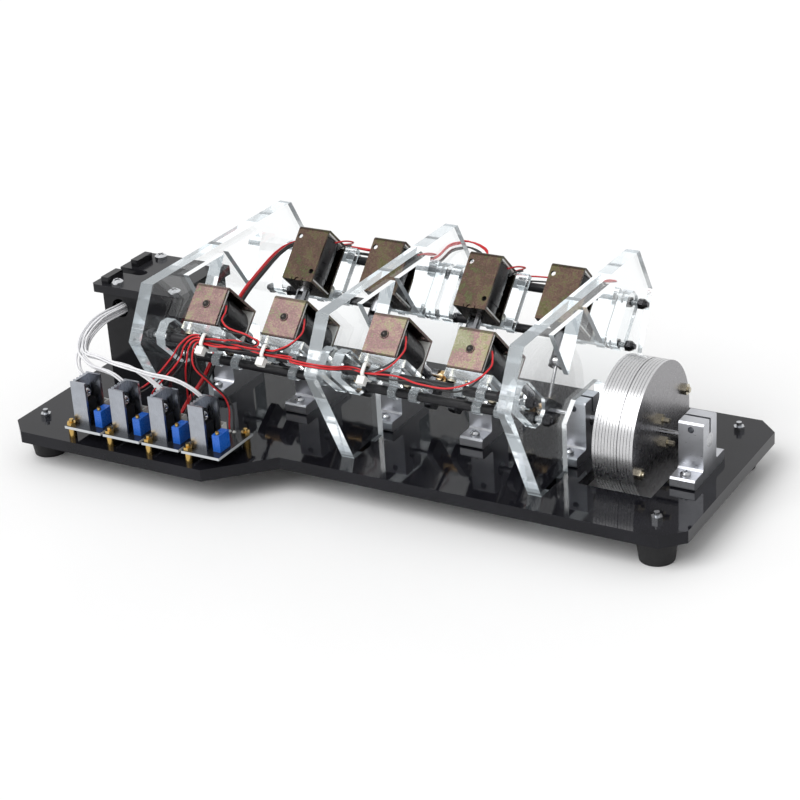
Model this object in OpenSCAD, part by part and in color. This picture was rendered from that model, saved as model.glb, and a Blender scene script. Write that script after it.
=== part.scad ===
// Eight-cylinder solenoid motor for demonstration: eight pull solenoids in two
// banks turn a four-throw crankshaft with a flywheel, on a black base.
// X runs along the crankshaft, Y to the rear, Z up from the standing surface.

/* [Base] */
// Length of the base plate
base_l = 406; // [400:1:440]
// Thickness of the base plate
base_t = 7; // [5:0.5:10]
// From the crank axis to the rear edge
base_rear = 72.5; // [68:0.5:86]
// From the crank axis to the front edge of the narrow part
base_front = 72.5; // [68:0.5:86]
// From the crank axis to the front edge of the wide part
base_wide = 103; // [101:0.5:120]
// Length of the wide part along the front edge
wide_l = 137; // [130:1:150]
// Length of the slanted step between the wide and narrow parts
step_l = 32; // [20:1:40]
// Size of the corner chamfers
base_chamfer = 11.5; // [4:0.5:14]

/* [Feet] */
// Height of a rubber foot
foot_h = 15; // [12:0.5:25]
// Diameter of a foot where it meets the base
foot_d_top = 23; // [20:0.5:26]
// Diameter of a foot on the table
foot_d_bottom = 18.8; // [14:0.2:20]
// From the right end of the base to the right feet
foot_inset_right = 19; // [14:0.5:22]
// From the left end of the base to the left feet
foot_inset_left = 13; // [12:0.5:14]
// From the front or rear edge to the feet
foot_inset_y = 16; // [13:0.5:20]

/* [Shaft supports] */
// Distance between neighbouring main bearings
support_pitch = 57; // [56.5:0.1:60]
// From the fifth main bearing to the outboard bearing
outboard_gap = 67.3; // [64:0.1:70]
// Place of the middle support along the base
engine_x = 1.5; // [0:0.1:3]
// Height of the crank axis over the base
axis_h = 20.8; // [20:0.1:22]
// Length of a support along the shaft
support_l = 14; // [10:0.5:15]
// Width over both feet of a support
support_w = 42; // [41:0.5:44]
// Width of the upright block of a support
block_w = 18; // [16:0.5:20]
// Total height of a support
support_h = 33; // [31:0.2:35]
// Thickness of the support's feet
support_foot_t = 6; // [4:0.2:7]
// Distance between the two foot screws of a support
support_screw_pitch = 32; // [30:0.5:34]
// Outer diameter of the main ball bearings
bearing_d = 8; // [7:0.1:9]

/* [Crankshaft] */
// Diameter of the shaft and the crankpins
shaft_d = 3; // [2.6:0.1:3.4]
// Crank radius, half the plunger stroke
crank_r = 7; // [5.6:0.1:7]
// Distance of a crankpin from its bay's middle support
pin_offset = 25.5; // [25:0.1:26]
// Thickness of a crank web
web_t = 4; // [3:0.5:5]
// Width of a crank web
web_w = 11; // [9:0.5:12]
// Angle of the fourth throw at rest, from the rear, upwards
crank_rest = -35; // [-60:1:60]

/* [Flywheel] */
// Diameter of the flywheel
flywheel_d = 76; // [70:0.5:78]
// Thickness of one steel disc of the flywheel
disc_t = 1.76; // [1.4:0.02:1.8]
// From the fifth main bearing to the flywheel's left face
flywheel_from_support = 24; // [22:0.5:25]

/* [Connecting rods] */
// Distance between the rod's two pins
rod_l = 28; // [28:0.1:28.6]
// Diameter of the rod's round shank
rod_shank_d = 2; // [1.6:0.1:2.4]
// Sideways distance of a rod from the middle of its crankpin
rod_offset = 2.85; // [2.8:0.05:3]
// Width of the brass big end
big_end_w = 5; // [4:0.1:5.2]
// Diameter of the brass big end
big_end_d = 8.4; // [7:0.1:9]

/* [Plungers] */
// Diameter of a plunger
plunger_d = 8; // [7.4:0.1:8.2]
// Width of the slot between the plunger's two ears
fork_gap = 3.4; // [3.2:0.1:3.8]
// Length of a plunger
plunger_l = 37; // [35:0.5:37]

/* [Solenoids] */
// Width of a solenoid frame along the shaft
sol_w = 20; // [19:0.1:21]
// Depth of a solenoid frame across its axis
sol_d = 24; // [23:0.1:24.4]
// From the crank axis to the outer end of the solenoids
sol_reach = 81; // [80.5:0.5:84]
// Length of a solenoid frame along its axis
sol_l = 34; // [33:0.5:36]
// Thickness of the folded frame sheet
sol_sheet = 1.5; // [1:0.1:2]
// Slope of the banks over the base
bank_deg = 45; // [44:0.5:46]

/* [Frame plates] */
// Thickness of the three clear frame plates
plate_t = 8; // [6:0.5:9]
// Height of a frame plate over the base
plate_h = 91; // [89:0.5:98]
// Half the width of the top edge
plate_top = 71; // [68:0.5:76]
// Half the width at the widest place
plate_wide = 88; // [86:0.5:92]
// Height of the widest place over the base
plate_wide_h = 62; // [58:0.5:66]
// Half the width on the base
plate_foot = 57.5; // [55:0.5:62]
// Half the width of the opening round a support
plate_slot = 26; // [24:0.5:28]
// Height of the opening round a support
plate_slot_h = 37; // [36:0.5:40]

/* [Brackets and tie rods] */
// Thickness of the clear brackets
bracket_t = 6; // [4:0.5:6]
// Diameter of the threaded tie rods
tie_d = 3; // [2.6:0.1:3.2]
// Outer diameter of the black spacer sleeves
sleeve_d = 5.2; // [4.6:0.1:5.4]
// Distance of the tie rods from the bank's middle plane
tie_off = 21.4; // [21:0.1:23]
// From the crank axis to the inner tie rod, along the bank
tie_in = 51.4; // [50.5:0.1:53]
// From the crank axis to the outer tie rod, along the bank
tie_out = 77; // [75.5:0.1:78]
// Thickness of the clear block under a solenoid
seat_t = 4.4; // [3:0.2:4.6]

/* [Control box] */
// Length of the lid along the shaft
lid_l = 58; // [56:0.5:60]
// Width of the lid
lid_w = 55; // [52:0.5:60]
// Height of the lid's top over the base
box_h = 63.5; // [58:0.5:70]
// Thickness of the black panels
panel_t = 5; // [4:0.5:6]
// From the left end of the base to the lid
box_inset = 14.5; // [14:0.5:18]

/* [Driver boards] */
// Width of a board along the base's front edge
board_w = 25; // [24:0.5:26.4]
// Depth of a board
board_d = 34; // [33:0.5:35]
// Thickness of a board
board_t = 1.6; // [1:0.1:2]
// Distance between neighbouring boards
board_pitch = 26.9; // [26.6:0.1:28]
// From the left end of the base to the first board
board_inset = 42.6; // [41:0.2:46]
// From the front edge of the base to the boards
board_edge = 3; // [2.5:0.5:6]
// Height of the standoffs under the boards
standoff_h = 6.4; // [5:0.2:8]

/* [Hidden] */
$fn = 48;

// Screws: all are 3 mm, in clearance holes
screw_d = 3;
screw_hole_d = 3.4;
pan_d = 5.8;
pan_h = 2.2;
nut_af = 5.5;
nut_h = 2.4;
lock_nut_h = 4.2;
thread_tip = 1.2;
hex_sides = 6;
hex_d = nut_af / cos(180 / hex_sides);
run_fit = 0.05;
slide_fit = 0.15;
loose = 0.3;
pan_rim_share = 0.6;
pan_top_share = 0.6;
cross_len_share = 0.6;
cross_w_share = 0.14;
nut_body_share = 0.7;
nut_top_share = 0.8;

// Reference heights and places
base_top = foot_h + base_t;
crank_y = (base_wide - plate_wide) / 2;
axis_z = base_top + axis_h;
left_x = -base_l / 2;
right_x = base_l / 2;
support_x = [for (i = [-2 : 2]) engine_x + i * support_pitch];
outboard_x = support_x[4] + outboard_gap;
all_supports = concat(support_x, [outboard_x]);
plate_x = [support_x[0], support_x[2], support_x[4]];
foot_more = 6;
foot_front_left = -base_wide + foot_inset_y + foot_more;
foot_places = [
    [right_x - foot_inset_right, -base_front + foot_inset_y],
    [right_x - foot_inset_right, base_rear - foot_inset_y],
    [left_x + foot_inset_left, foot_front_left],
    [left_x + foot_inset_left, base_rear - foot_inset_y]
];
foot_recess_d = 8;
foot_recess_h = 5;

// Flywheel: a stack of discs, one joint in it left open
disc_n = 13;
open_after = 8;
disc_groove = 0.25;
open_groove = 0.7;
flywheel_x = support_x[4] + flywheel_from_support;
flywheel_l = disc_n * disc_t;
rim_bolt_r_share = 0.86;
hub_bolt_r = 8.5;
rim_bolt_deg = 20;
slot_gap = 9.5;
slot_half = 36;

// Crank throws, counted from the control box
throws = [
    [support_x[1] - pin_offset, crank_rest + 180],
    [support_x[1] + pin_offset, crank_rest - 90],
    [support_x[3] - pin_offset, crank_rest + 90],
    [support_x[3] + pin_offset, crank_rest]
];
pin_half = rod_offset + big_end_w / 2 + loose;
web_past_pin = 2.5;
web_half_l = crank_r + shaft_d / 2 + web_past_pin;
web_corner = 3;
shaft_in_box = 30;
shaft_left = left_x + box_inset + lid_l - shaft_in_box;
shaft_right = outboard_x + support_l / 2;

// Slider and crank: where a bank's plunger pin lies, and how its rod leans
banks = [180 - bank_deg, bank_deg];
function off_axis(t, b) = crank_r * sin(throws[t][1] - banks[b]);
function pin_reach(t, b) = crank_r * cos(throws[t][1] - banks[b]) + sqrt(rod_l * rod_l - off_axis(t, b) * off_axis(t, b));
function rod_lean(t, b) = asin(off_axis(t, b) / rod_l);
function rod_x(t, b) = throws[t][0] + (b == 0 ? -rod_offset : rod_offset);
function throw_y(t) = crank_r * cos(throws[t][1]);
function throw_z(t) = crank_r * sin(throws[t][1]);

// Rods and plungers
eye_t = 2.8;
eye_d = 6;
clevis_d = 2;
ear_end = 3.5;
pin_proud = 0.3;
pin_gap = 0.15;
eye_room = 0.5;
fork_depth = ear_end + 2 * crank_r + eye_d / 2 + eye_room;
big_boss_l = 3;
big_boss_d = 3.8;

// Solenoids
sol_in = sol_reach - sol_l;
sol_mid = sol_reach - sol_l / 2;
sol_bend = 2.2;
bend_steps = 4;
plunger_play = 0.9;
plunger_hole_d = plunger_d + plunger_play;
pole_d = plunger_d;
pole_end = 69.4;
rivet_d = 5;
rivet_h = 0.6;
tab_w = 7;
tab_slit = 0.5;
tab_deep = 1;
tab_notch_d = 3.4;
mount_hole_x = 7.5;
mount_hole_d = 10.5;
tap_d = 2.6;
flange_t = 1;
tube_wall = 0.7;
coil_gap = 0.2;
coil_d = sol_d - 2 * sol_sheet - 2 * coil_gap;
tape_step = 0.35;
tape_w = 19;
front_x = [for (t = [0 : 3]) rod_x(t, 0)];
rear_x = [for (t = [0 : 3]) rod_x(t, 1)];

// Clear blocks, brackets, rods
seat_out = 7.5;
clip_wall = 1;
clip_w = 5;
clip_past = 0.5;
clip_x = [-clip_w / 2, sol_w / 2 + clip_past];
bracket_in = 48;
bracket_out = 81.5;
bracket_near = 10.5;
bracket_far = 27;
bracket_cham = 4.5;
end_face = plate_x[2] + plate_t / 2;
start_face = plate_x[0] - plate_t / 2;
band_t = 7;
window_in = 2;
window_out = 38;
window_mid = 22;
window_low = 55;
slot_top_share = 0.54;
slot_side_share = 0.76;
plate_tab_w = 14;

// Support profile
support_cham = 1;
clamp_slit = 1.8;
clamp_hole_d = 3.6;
clamp_hole_z_share = 0.88;
bearing_l = 4;
race_t = 0.8;
shield_in = 1.2;

// Control box
lid_x = left_x + box_inset;
lid_over = 3;
end_over = 5.5;
rib_l = 14.5;
rib_h = 4;
rib_gap = 15;
notch_w = 7.5;
notch_l = 22;
feature_y = -2.5;
lid_cham = 1.5;
lid_screw_y = lid_w / 2 - lid_over - panel_t / 2;
lid_shank = 8;
lid_screw_x = [15.2, 52];
lid_pan_d = 7.4;
lid_pan_h = 2.8;
wire_hole_d = 11.4;
wire_hole_x = 17;
wire_hole_z = 49.3;
shaft_hole_d = 6;
jack_d = 8;
jack_x = 22;
jack_z = 16;
jack_flange_d = 11;
jack_flange_t = 2;
jack_l = 12;
jack_bore_d = 5.5;
jack_bore_l = 9.5;
jack_pin_d = 2;
disc_r = 11;
timing_t = 3;
hub_d = 7;
hub_l = 4;
timing_x = shaft_left + hub_l;
magnet_d = 4;
magnet_proud = 0.4;
sensor_gap = 2.2;
sensor_x = timing_x + timing_t + sensor_gap;
sensor_side = 2.5;
sensor_h = 42;
sensor_chip = [1.4, 4, 3.2];
sensor_r = 8;

// Boards and what stands on them
board_y = -base_wide + board_edge;
board_n = 4;
function board_x(i) = left_x + board_inset + i * board_pitch;
standoff_d = 4.6;
standoff_in = 2.9;
stud_d = 2.5;
small_nut_h = 1.9;
small_nut_d = 5.4;
sink_x = 4.6;
sink_y = 5.4;
sink_w = 9;
sink_d = 15.5;
sink_h = 26;
sink_wall = 1.5;
fin_n = 6;
fin_w = 1.1;
fin_out = 1;
tab_t = 1.3;
tab_h = 15.6;
body_w = 10;
body_t = 4.4;
body_h = 9.2;
leg_h = 3.6;
leg_w = 0.8;
leg_t = 0.5;
leg_pitch = 2.54;
tab_hole_up = 12.9;
trim_x = 17.4;
trim_y = 6.2;
trim_w = 4.83;
trim_d = 9.53;
trim_h = 10;
trim_screw_d = 2.2;
trim_screw_h = 1.5;
trim_screw_in = 1.9;
trim_screw_sunk = 1.4;
trim_slit = 0.5;
header_w = 7.6;
header_d = 5;
header_h = 7;
header_x = 4.4;
header_y = 23;
header_wall = 0.8;
pad_d = 2.2;
pad_h = 0.9;
pad_x = [3, 6, 11.5, 14.5];
pad_in = 3;

// Wires: round numbers from the crank axis in plan and from the base in height,
// and along the banks as distance outwards and distance from the crank
wire_d = 1;
loom_d = 2.4;
white_loom_d = 2.8;
wire_sides = 8;
askew = [0.36, 0.48, 0.8];
wire_step = 1.3;
lane_at = 81.3;
function bank_point(b, x, w, d) = [x, (b == 0 ? -1 : 1) * (d * cos(bank_deg) + w * sin(bank_deg)), axis_h + d * sin(bank_deg) - w * cos(bank_deg)];
lane_mid = 1.5;
function lane(x, k, row) = bank_point(0, x, tie_off + (k - lane_mid) * wire_step, lane_at + row * wire_step);
past_plate = [0, -12.5, 5];
function lane_past(x, k, row) = lane(x, k, row) + past_plate;
lead_steps = [[0.45, 0, 2, -4, 74, 3], [3, 1, 6, -3, 79.4, 1.6], [3.5, 2, 11, -2, 81.9, 1.3]];
function lead(b, x, row) = [for (s = lead_steps) bank_point(b, x + s[0] + s[1] * row, s[2] + s[3] * row, s[4] + s[5] * row)];
first_loop = [[-46, 0, 15.5, 81.9], [-43, 2, 18, 82]];
lane_x = [[-48], [-31], [31, 20], [82, 20]];
past_x = [11, -8];
after_x = -18;
row_lead = 1.6;
lane_end = [-83.5, -82, -80.5, -79];
lane_side = 24.2;
side_share = 1.1;
function joins(k, row) = concat(
    k == 0 ? [for (s = first_loop) bank_point(0, s[0] + s[1] * row, s[2], s[3] + wire_step * row)] : [],
    [for (x = lane_x[k]) lane(x + row * row_lead, k, row)],
    k > 1 ? [lane_past(past_x[0] + row * row_lead, k, row), lane_past(past_x[1] - row * row_lead, k, row), lane(after_x - row * row_lead, k, row)] : []);
drops = [
    [[-99, -74, 50], [-110, -78.5, 37], [-134, -72, 20], [-148.9, -69, 9.5]],
    [[-93, -75, 50], [-106, -77.5, 35], [-117, -73, 23], [-122, -69, 9.5]],
    [[-87.5, -76, 50], [-93, -71, 38], [-97, -66, 24], [-95.1, -69, 9.5]],
    [[-82.5, -77, 50], [-77, -72, 38], [-70, -66, 24], [-68.2, -69, 9.5]]
];
drop_shift = [3, 1.5, -1.5];
drop_share = 0.6;
function lane_aside(k, row) = let (over = lane_side - tie_off - (k - lane_mid) * wire_step) bank_point(0, lane_end[k] - over * side_share, lane_side, lane_at + row * wire_step);
function front_route(k, row) = concat(lead(0, front_x[k] + sol_w / 2, row), joins(k, row), [lane(lane_end[k], k, row), lane_aside(k, row)],
    [for (i = [0 : 3]) drops[k][i] + (row == 1 ? [0, 0, 0] : i == 3 ? [drop_shift[0], 0, 0] : [drop_shift[0] * drop_share, drop_shift[1], drop_shift[2]])]);
rear_spots = [[21.4, 82], [20.9, 84.7]];
rear_past = [0, 12, 6.4];
rear_way = [[98, 0, 0], [20, 0, 2.2], [12, 1, 2.2], [-9, 1, -2.2], [-17, 0, -2.2], [-90, 0, 0]];
rear_join = [1.5, -0.8];
rear_left = [[-97, 62, 71], [-98, 10, 66], [-98, -22, 50], [-98, -48, 27], [-102, -63, 15], [-103, -69, 10.2]];
loom_shift = [2.8, 0, 0];
function rear_lane(x, row) = bank_point(1, x, rear_spots[row][0], rear_spots[row][1]);
function rear_loom(row) = concat(
    [for (q = rear_way) rear_lane(q[0] + row * q[2], row) + q[1] * rear_past],
    [for (q = rear_left) q + (1 - row) * loom_shift]);
function rear_lead(k, row) = concat(lead(1, rear_x[k] + sol_w / 2, row),
    [bank_point(1, rear_x[k] + sol_w / 2 + rear_join[0], rear_spots[row][0] + rear_join[1], rear_spots[row][1])]);
white_start = [[-151, -8, 50], [-168, -12, 49], [-171, -27, 49], [-177, -42, 45], [-178, -54, 37]];
white_ends = [
    [[-173, -67, 29], [-158, -75, 24], [-153, -74.5, 17], [-153, -74.5, 14]],
    [[-162, -71, 35], [-134, -78, 32], [-126, -74.5, 17], [-126, -74.5, 14]],
    [[-154, -69, 38], [-112, -80.7, 37.9], [-99, -74.5, 17], [-99, -74.5, 14]],
    [[-146, -76, 42], [-112, -82.5, 41.7], [-84, -80, 37], [-72, -74.5, 17], [-72, -74.5, 14]]
];
white_spots = [[-1.7, -1.7], [-1.7, 1.7], [1.7, -1.7], [1.7, 1.7]];
function white_route(i) = let (x = white_spots[i][0], z = white_spots[i][1]) concat(
    [for (k = [0 : len(white_start) - 1]) white_start[k] + [k == 0 ? 0 : x, k < 2 ? -x : 0, z]], white_ends[i]);
clip_places = [-76, -36.4, 26.6];
tie_w = 1.9;
tie_wall = 0.9;
tie_box = [18.2, 24.6, 73.8, 83.8];
tie_round = 1.5;
tie_head = [4.6, 4.4, 3.6];

// Frames of reference: over the base, on the crank axis, and along a bank
module over_base() translate([0, crank_y, base_top]) children();
module on_axis() translate([0, crank_y, axis_z]) children();
module in_bank(b) on_axis() mirror([0, b == 0 ? 1 : 0, 0]) rotate([bank_deg - 90, 0, 0]) children();

// Bars along each direction, from their start
module rod_along_x(l, d) rotate([0, 90, 0]) cylinder(h = l, d = d);
module rod_along_y(l, d) rotate([-90, 0, 0]) cylinder(h = l, d = d);
module hex_along_x(l) rotate([0, 90, 0]) cylinder(h = l, d = hex_d, $fn = hex_sides);

// A profile drawn across the shaft, given in Y and Z, then run along X
module across(l) rotate([90, 0, 90]) linear_extrude(l) children();

// A pan-head screw standing on zero, its shank down
module pan_screw(shank, head_d = pan_d, head_h = pan_h) {
    difference() {
        union() {
            cylinder(h = head_h * pan_rim_share, d = head_d);
            translate([0, 0, head_h * pan_rim_share]) cylinder(h = head_h * (1 - pan_rim_share), d1 = head_d, d2 = head_d * pan_top_share);
        }
        translate([0, 0, head_h * pan_rim_share]) for (turn = [0, 90]) rotate([0, 0, turn])
            translate([-head_d * cross_len_share / 2, -head_d * cross_w_share / 2, 0]) cube([head_d * cross_len_share, head_d * cross_w_share, head_h]);
    }
    translate([0, 0, -shank]) cylinder(h = shank, d = screw_d);
}
module hex_nut() cylinder(h = nut_h, d = hex_d, $fn = hex_sides);

// Base plate with its wide left front, flywheel slot and all holes
module base_outline() polygon([
    [left_x + base_chamfer, -base_wide], [left_x + wide_l, -base_wide],
    [left_x + wide_l + step_l, -base_front], [right_x - base_chamfer, -base_front],
    [right_x, -base_front + base_chamfer], [right_x, base_rear - base_chamfer],
    [right_x - base_chamfer, base_rear], [left_x + base_chamfer, base_rear],
    [left_x, base_rear - base_chamfer], [left_x, -base_wide + base_chamfer]
]);
module base_plate() color("#17171b") translate([0, crank_y, foot_h]) difference() {
    linear_extrude(base_t) base_outline();
    translate([flywheel_x - slot_gap, -slot_half, -loose]) cube([flywheel_l + 2 * slot_gap, 2 * slot_half, base_t + 2 * loose]);
    for (p = foot_places) translate([p[0], p[1], -loose]) cylinder(h = base_t + 2 * loose, d = screw_hole_d);
    for (x = all_supports, s = [-1, 1]) translate([x, s * support_screw_pitch / 2, -loose]) cylinder(h = base_t + 2 * loose, d = screw_hole_d);
    for (x = plate_x, s = [-1, 1]) translate([x - plate_t / 2, s * (plate_slot + plate_foot) / 2 - plate_tab_w / 2, -loose])
        cube([plate_t, plate_tab_w, base_t + 2 * loose]);
    for (i = [0 : board_n - 1], p = standoff_spots(i)) translate([p[0], p[1], -loose]) cylinder(h = base_t + 2 * loose, d = stud_d);
}

module rubber_feet() color("#1b1b1c") for (p = foot_places) translate([p[0], crank_y + p[1], 0]) difference() {
    cylinder(h = foot_h, d1 = foot_d_bottom, d2 = foot_d_top);
    translate([0, 0, -loose]) cylinder(h = foot_recess_h + loose, d = foot_recess_d);
    cylinder(h = foot_h + loose, d = screw_hole_d);
}
module foot_bolts() color("#c9ccd0") for (p = foot_places) translate([p[0], crank_y + p[1], 0]) {
    translate([0, 0, foot_recess_h]) mirror([0, 0, 1]) pan_screw(0);
    translate([0, 0, foot_recess_h]) cylinder(h = base_top + nut_h + 2 * thread_tip - foot_recess_h, d = screw_d);
    translate([0, 0, base_top]) hex_nut();
}

// Clear frame plates, with two windows, the opening round a support, and tabs in the base
function mirrored(points) = concat(points, [for (i = [len(points) - 1 : -1 : 0]) [-points[i][0], points[i][1]]]);
module plate_outline() difference() {
    polygon(mirrored([[plate_slot * slot_top_share, plate_slot_h], [plate_slot, plate_slot_h * slot_side_share], [plate_slot, 0],
        [plate_foot, 0], [plate_wide, plate_wide_h], [plate_top, plate_h]]));
    for (s = [-1, 1]) polygon([[s * window_in, plate_h - band_t], [s * window_out, plate_h - band_t], [s * window_mid, window_low]]);
}
module frame_plate(x) color("#dfe9ee", 0.45) difference() {
    over_base() translate([x - plate_t / 2, 0, 0]) {
        across(plate_t) plate_outline();
        for (s = [-1, 1]) translate([0, s * (plate_slot + plate_foot) / 2 - plate_tab_w / 2, -base_t]) cube([plate_t, plate_tab_w, base_t]);
    }
    for (b = [0, 1], d = [tie_in, tie_out]) in_bank(b) translate([x - plate_t, tie_off, d]) rod_along_x(2 * plate_t, tie_d);
}
module frame_plate_left() frame_plate(plate_x[0]);
module frame_plate_middle() frame_plate(plate_x[1]);
module frame_plate_right() frame_plate(plate_x[2]);

// Brackets flat on the plates' inner faces; the tie rods clamp them
bracket_x = [plate_x[0] + plate_t / 2, plate_x[1] - plate_t / 2 - bracket_t, plate_x[1] + plate_t / 2, plate_x[2] - plate_t / 2 - bracket_t];
module bracket() difference() {
    across(bracket_t) polygon([
        [bracket_near, bracket_in + bracket_cham], [bracket_near + bracket_cham, bracket_in],
        [bracket_far - bracket_cham, bracket_in], [bracket_far, bracket_in + bracket_cham],
        [bracket_far, bracket_out - bracket_cham], [bracket_far - bracket_cham, bracket_out],
        [bracket_near + bracket_cham, bracket_out], [bracket_near, bracket_out - bracket_cham]
    ]);
    for (d = [tie_in, tie_out]) translate([-loose, tie_off, d]) rod_along_x(bracket_t + 2 * loose, tie_d);
}
module bank_brackets() color("#e3edf1", 0.5) for (b = [0, 1], x = bracket_x) in_bank(b) translate([x, 0, 0]) bracket();

module tie_rods() color("#2a2a2c") for (b = [0, 1], d = [tie_in, tie_out]) in_bank(b)
    translate([start_face - lock_nut_h - thread_tip, tie_off, d]) rod_along_x(end_face - start_face + 2 * (lock_nut_h + thread_tip), tie_d);

// Sleeves run between the nuts that lie against the brackets
bays = [[bracket_x[0] + bracket_t, bracket_x[1]], [bracket_x[2] + bracket_t, bracket_x[3]]];
module rod_sleeves() color("#1f1f22") for (b = [0, 1], d = [tie_in, tie_out], bay = bays) in_bank(b)
    translate([bay[0] + nut_h, tie_off, d]) difference() {
        rod_along_x(bay[1] - bay[0] - 2 * nut_h, sleeve_d);
        translate([-loose, 0, 0]) rod_along_x(bay[1] - bay[0], tie_d);
    }
module lock_nut() {
    hex_along_x(lock_nut_h * nut_body_share);
    translate([lock_nut_h * nut_body_share, 0, 0]) rotate([0, 90, 0]) cylinder(h = lock_nut_h * (1 - nut_body_share), d1 = nut_af, d2 = nut_af * nut_top_share);
}
module rod_nuts() color("#c4c7cb") for (b = [0, 1], d = [tie_in, tie_out]) in_bank(b) translate([0, tie_off, d]) difference() {
    union() {
        translate([end_face, 0, 0]) lock_nut();
        translate([start_face, 0, 0]) mirror([1, 0, 0]) lock_nut();
        for (bay = bays) {
            translate([bay[0], 0, 0]) hex_along_x(nut_h);
            translate([bay[1] - nut_h, 0, 0]) hex_along_x(nut_h);
        }
    }
    translate([start_face * 2, 0, 0]) rod_along_x(end_face * 4, tie_d);
}

// Clear blocks that carry the solenoids and clip round the sleeves
module solenoid_block() difference() {
    union() {
        translate([-sol_w / 2, sol_d / 2, sol_in]) cube([sol_w + seat_out, seat_t, sol_l]);
        for (x = clip_x, d = [tie_in, tie_out]) translate([x, 0, d]) {
            translate([0, tie_off, 0]) rod_along_x(clip_w, sleeve_d + 2 * clip_wall);
            translate([0, sol_d / 2 + seat_t - clip_wall, -sleeve_d / 2]) cube([clip_w, tie_off - sol_d / 2 - seat_t + clip_wall, sleeve_d]);
        }
    }
    for (d = [tie_in, tie_out]) translate([-sol_w, tie_off, d]) rod_along_x(3 * sol_w, sleeve_d);
    for (s = [-1, 1]) translate([s * mount_hole_x, sol_d / 2 - loose, sol_mid - s * mount_hole_d]) rod_along_y(seat_t + 2 * loose, screw_hole_d);
}
module each_solenoid() {
    for (x = front_x) in_bank(0) translate([x, 0, 0]) children();
    for (x = rear_x) in_bank(1) translate([x, 0, 0]) children();
}
module solenoid_blocks() color("#e3edf1", 0.5) each_solenoid() solenoid_block();
module solenoid_screws() color("#c9b98a") each_solenoid() for (s = [-1, 1])
    translate([s * mount_hole_x, sol_d / 2 + seat_t, sol_mid - s * mount_hole_d]) rotate([-90, 0, 0]) pan_screw(seat_t + sol_sheet, pan_d, tie_off - sleeve_d / 2 - sol_d / 2 - seat_t - loose);

// Solenoid frame: a folded strap, an inner end plate held by staked tabs, and the riveted pole
function bend_point(s, turn) = [s * (sol_d / 2 - sol_bend + sol_bend * cos(turn)), sol_reach - sol_bend + sol_bend * sin(turn)];
module strap_outline() polygon(concat([[sol_d / 2, sol_in]],
    [for (i = [0 : bend_steps]) bend_point(1, 90 * i / bend_steps)],
    [for (i = [bend_steps : -1 : 0]) bend_point(-1, 90 * i / bend_steps)], [[-sol_d / 2, sol_in]]));
module solenoid_frame() {
    difference() {
        translate([-sol_w / 2, 0, 0]) across(sol_w) strap_outline();
        translate([-sol_w, -sol_d / 2 + sol_sheet, sol_in + sol_sheet]) cube([2 * sol_w, sol_d - 2 * sol_sheet, sol_l - 2 * sol_sheet]);
        translate([0, 0, sol_in - loose]) cylinder(h = sol_sheet + 2 * loose, d = plunger_hole_d);
        for (s = [-1, 1], t = [-1, 1]) {
            translate([s * mount_hole_x, t * sol_d / 2 - 2 * sol_sheet, sol_mid - s * mount_hole_d]) rod_along_y(4 * sol_sheet, screw_d);
            translate([s * tab_w / 2 - tab_slit / 2, t > 0 ? sol_d / 2 - tab_deep : -sol_d / 2 - tab_deep, sol_in - loose]) cube([tab_slit, 2 * tab_deep, sol_sheet + loose]);
        }
        for (t = [-1, 1]) translate([0, t * sol_d / 2 - sol_sheet / 2, sol_in]) rod_along_y(sol_sheet, tab_notch_d);
    }
    translate([0, 0, pole_end]) cylinder(h = sol_reach - sol_sheet - pole_end, d = pole_d);
    translate([0, 0, sol_reach]) cylinder(h = rivet_h, d1 = rivet_d, d2 = rivet_d - rivet_h);
}
module solenoid_frames_front() color("#a39a6b") for (x = front_x) in_bank(0) translate([x, 0, 0]) solenoid_frame();
module solenoid_frames_rear() color("#a39a6b") for (x = rear_x) in_bank(1) translate([x, 0, 0]) solenoid_frame();

// Bobbins in white nylon and their taped coils
bobbin_in = sol_in + sol_sheet;
bobbin_out = sol_reach - sol_sheet;
module bobbin() difference() {
    union() {
        translate([0, 0, bobbin_in]) cylinder(h = bobbin_out - bobbin_in, d = plunger_hole_d + 2 * tube_wall);
        for (z = [bobbin_in, bobbin_out - flange_t]) translate([-sol_w / 2, -coil_d / 2, z]) cube([sol_w, coil_d, flange_t]);
    }
    translate([0, 0, bobbin_in - loose]) cylinder(h = pole_end - bobbin_in + loose, d = plunger_hole_d);
    translate([0, 0, pole_end]) cylinder(h = bobbin_out - pole_end + loose, d = pole_d);
}
module bobbins() color("#f2f2ef") each_solenoid() bobbin();
module coils() color("#141416") each_solenoid() difference() {
    union() {
        translate([0, 0, bobbin_in + flange_t]) cylinder(h = bobbin_out - bobbin_in - 2 * flange_t, d = coil_d - 2 * tape_step);
        translate([0, 0, sol_mid - tape_w / 2]) cylinder(h = tape_w, d = coil_d);
    }
    translate([0, 0, bobbin_in]) cylinder(h = sol_l, d = plunger_hole_d + 2 * tube_wall);
}

// Shaft supports with a clamp slit, screwed through the base
module support_outline() polygon(mirrored([
    [0, 0], [support_w / 2 - support_cham, 0], [support_w / 2, support_cham], [support_w / 2, support_foot_t - support_cham],
    [support_w / 2 - support_cham, support_foot_t], [block_w / 2 + support_cham, support_foot_t], [block_w / 2, support_foot_t + support_cham],
    [block_w / 2, support_h - support_cham], [block_w / 2 - support_cham, support_h], [clamp_slit / 2, support_h], [clamp_slit / 2, axis_h]
]));
module shaft_supports() color("#c3c6ca") for (x = all_supports) over_base() translate([x - support_l / 2, 0, 0]) difference() {
    across(support_l) support_outline();
    translate([-loose, 0, axis_h]) rod_along_x(support_l + 2 * loose, bearing_d);
    translate([support_l / 2, -block_w, support_h * clamp_hole_z_share]) rod_along_y(2 * block_w, clamp_hole_d);
    for (s = [-1, 1]) translate([support_l / 2, s * support_screw_pitch / 2, -loose]) cylinder(h = support_h, d = screw_hole_d);
}
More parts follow.
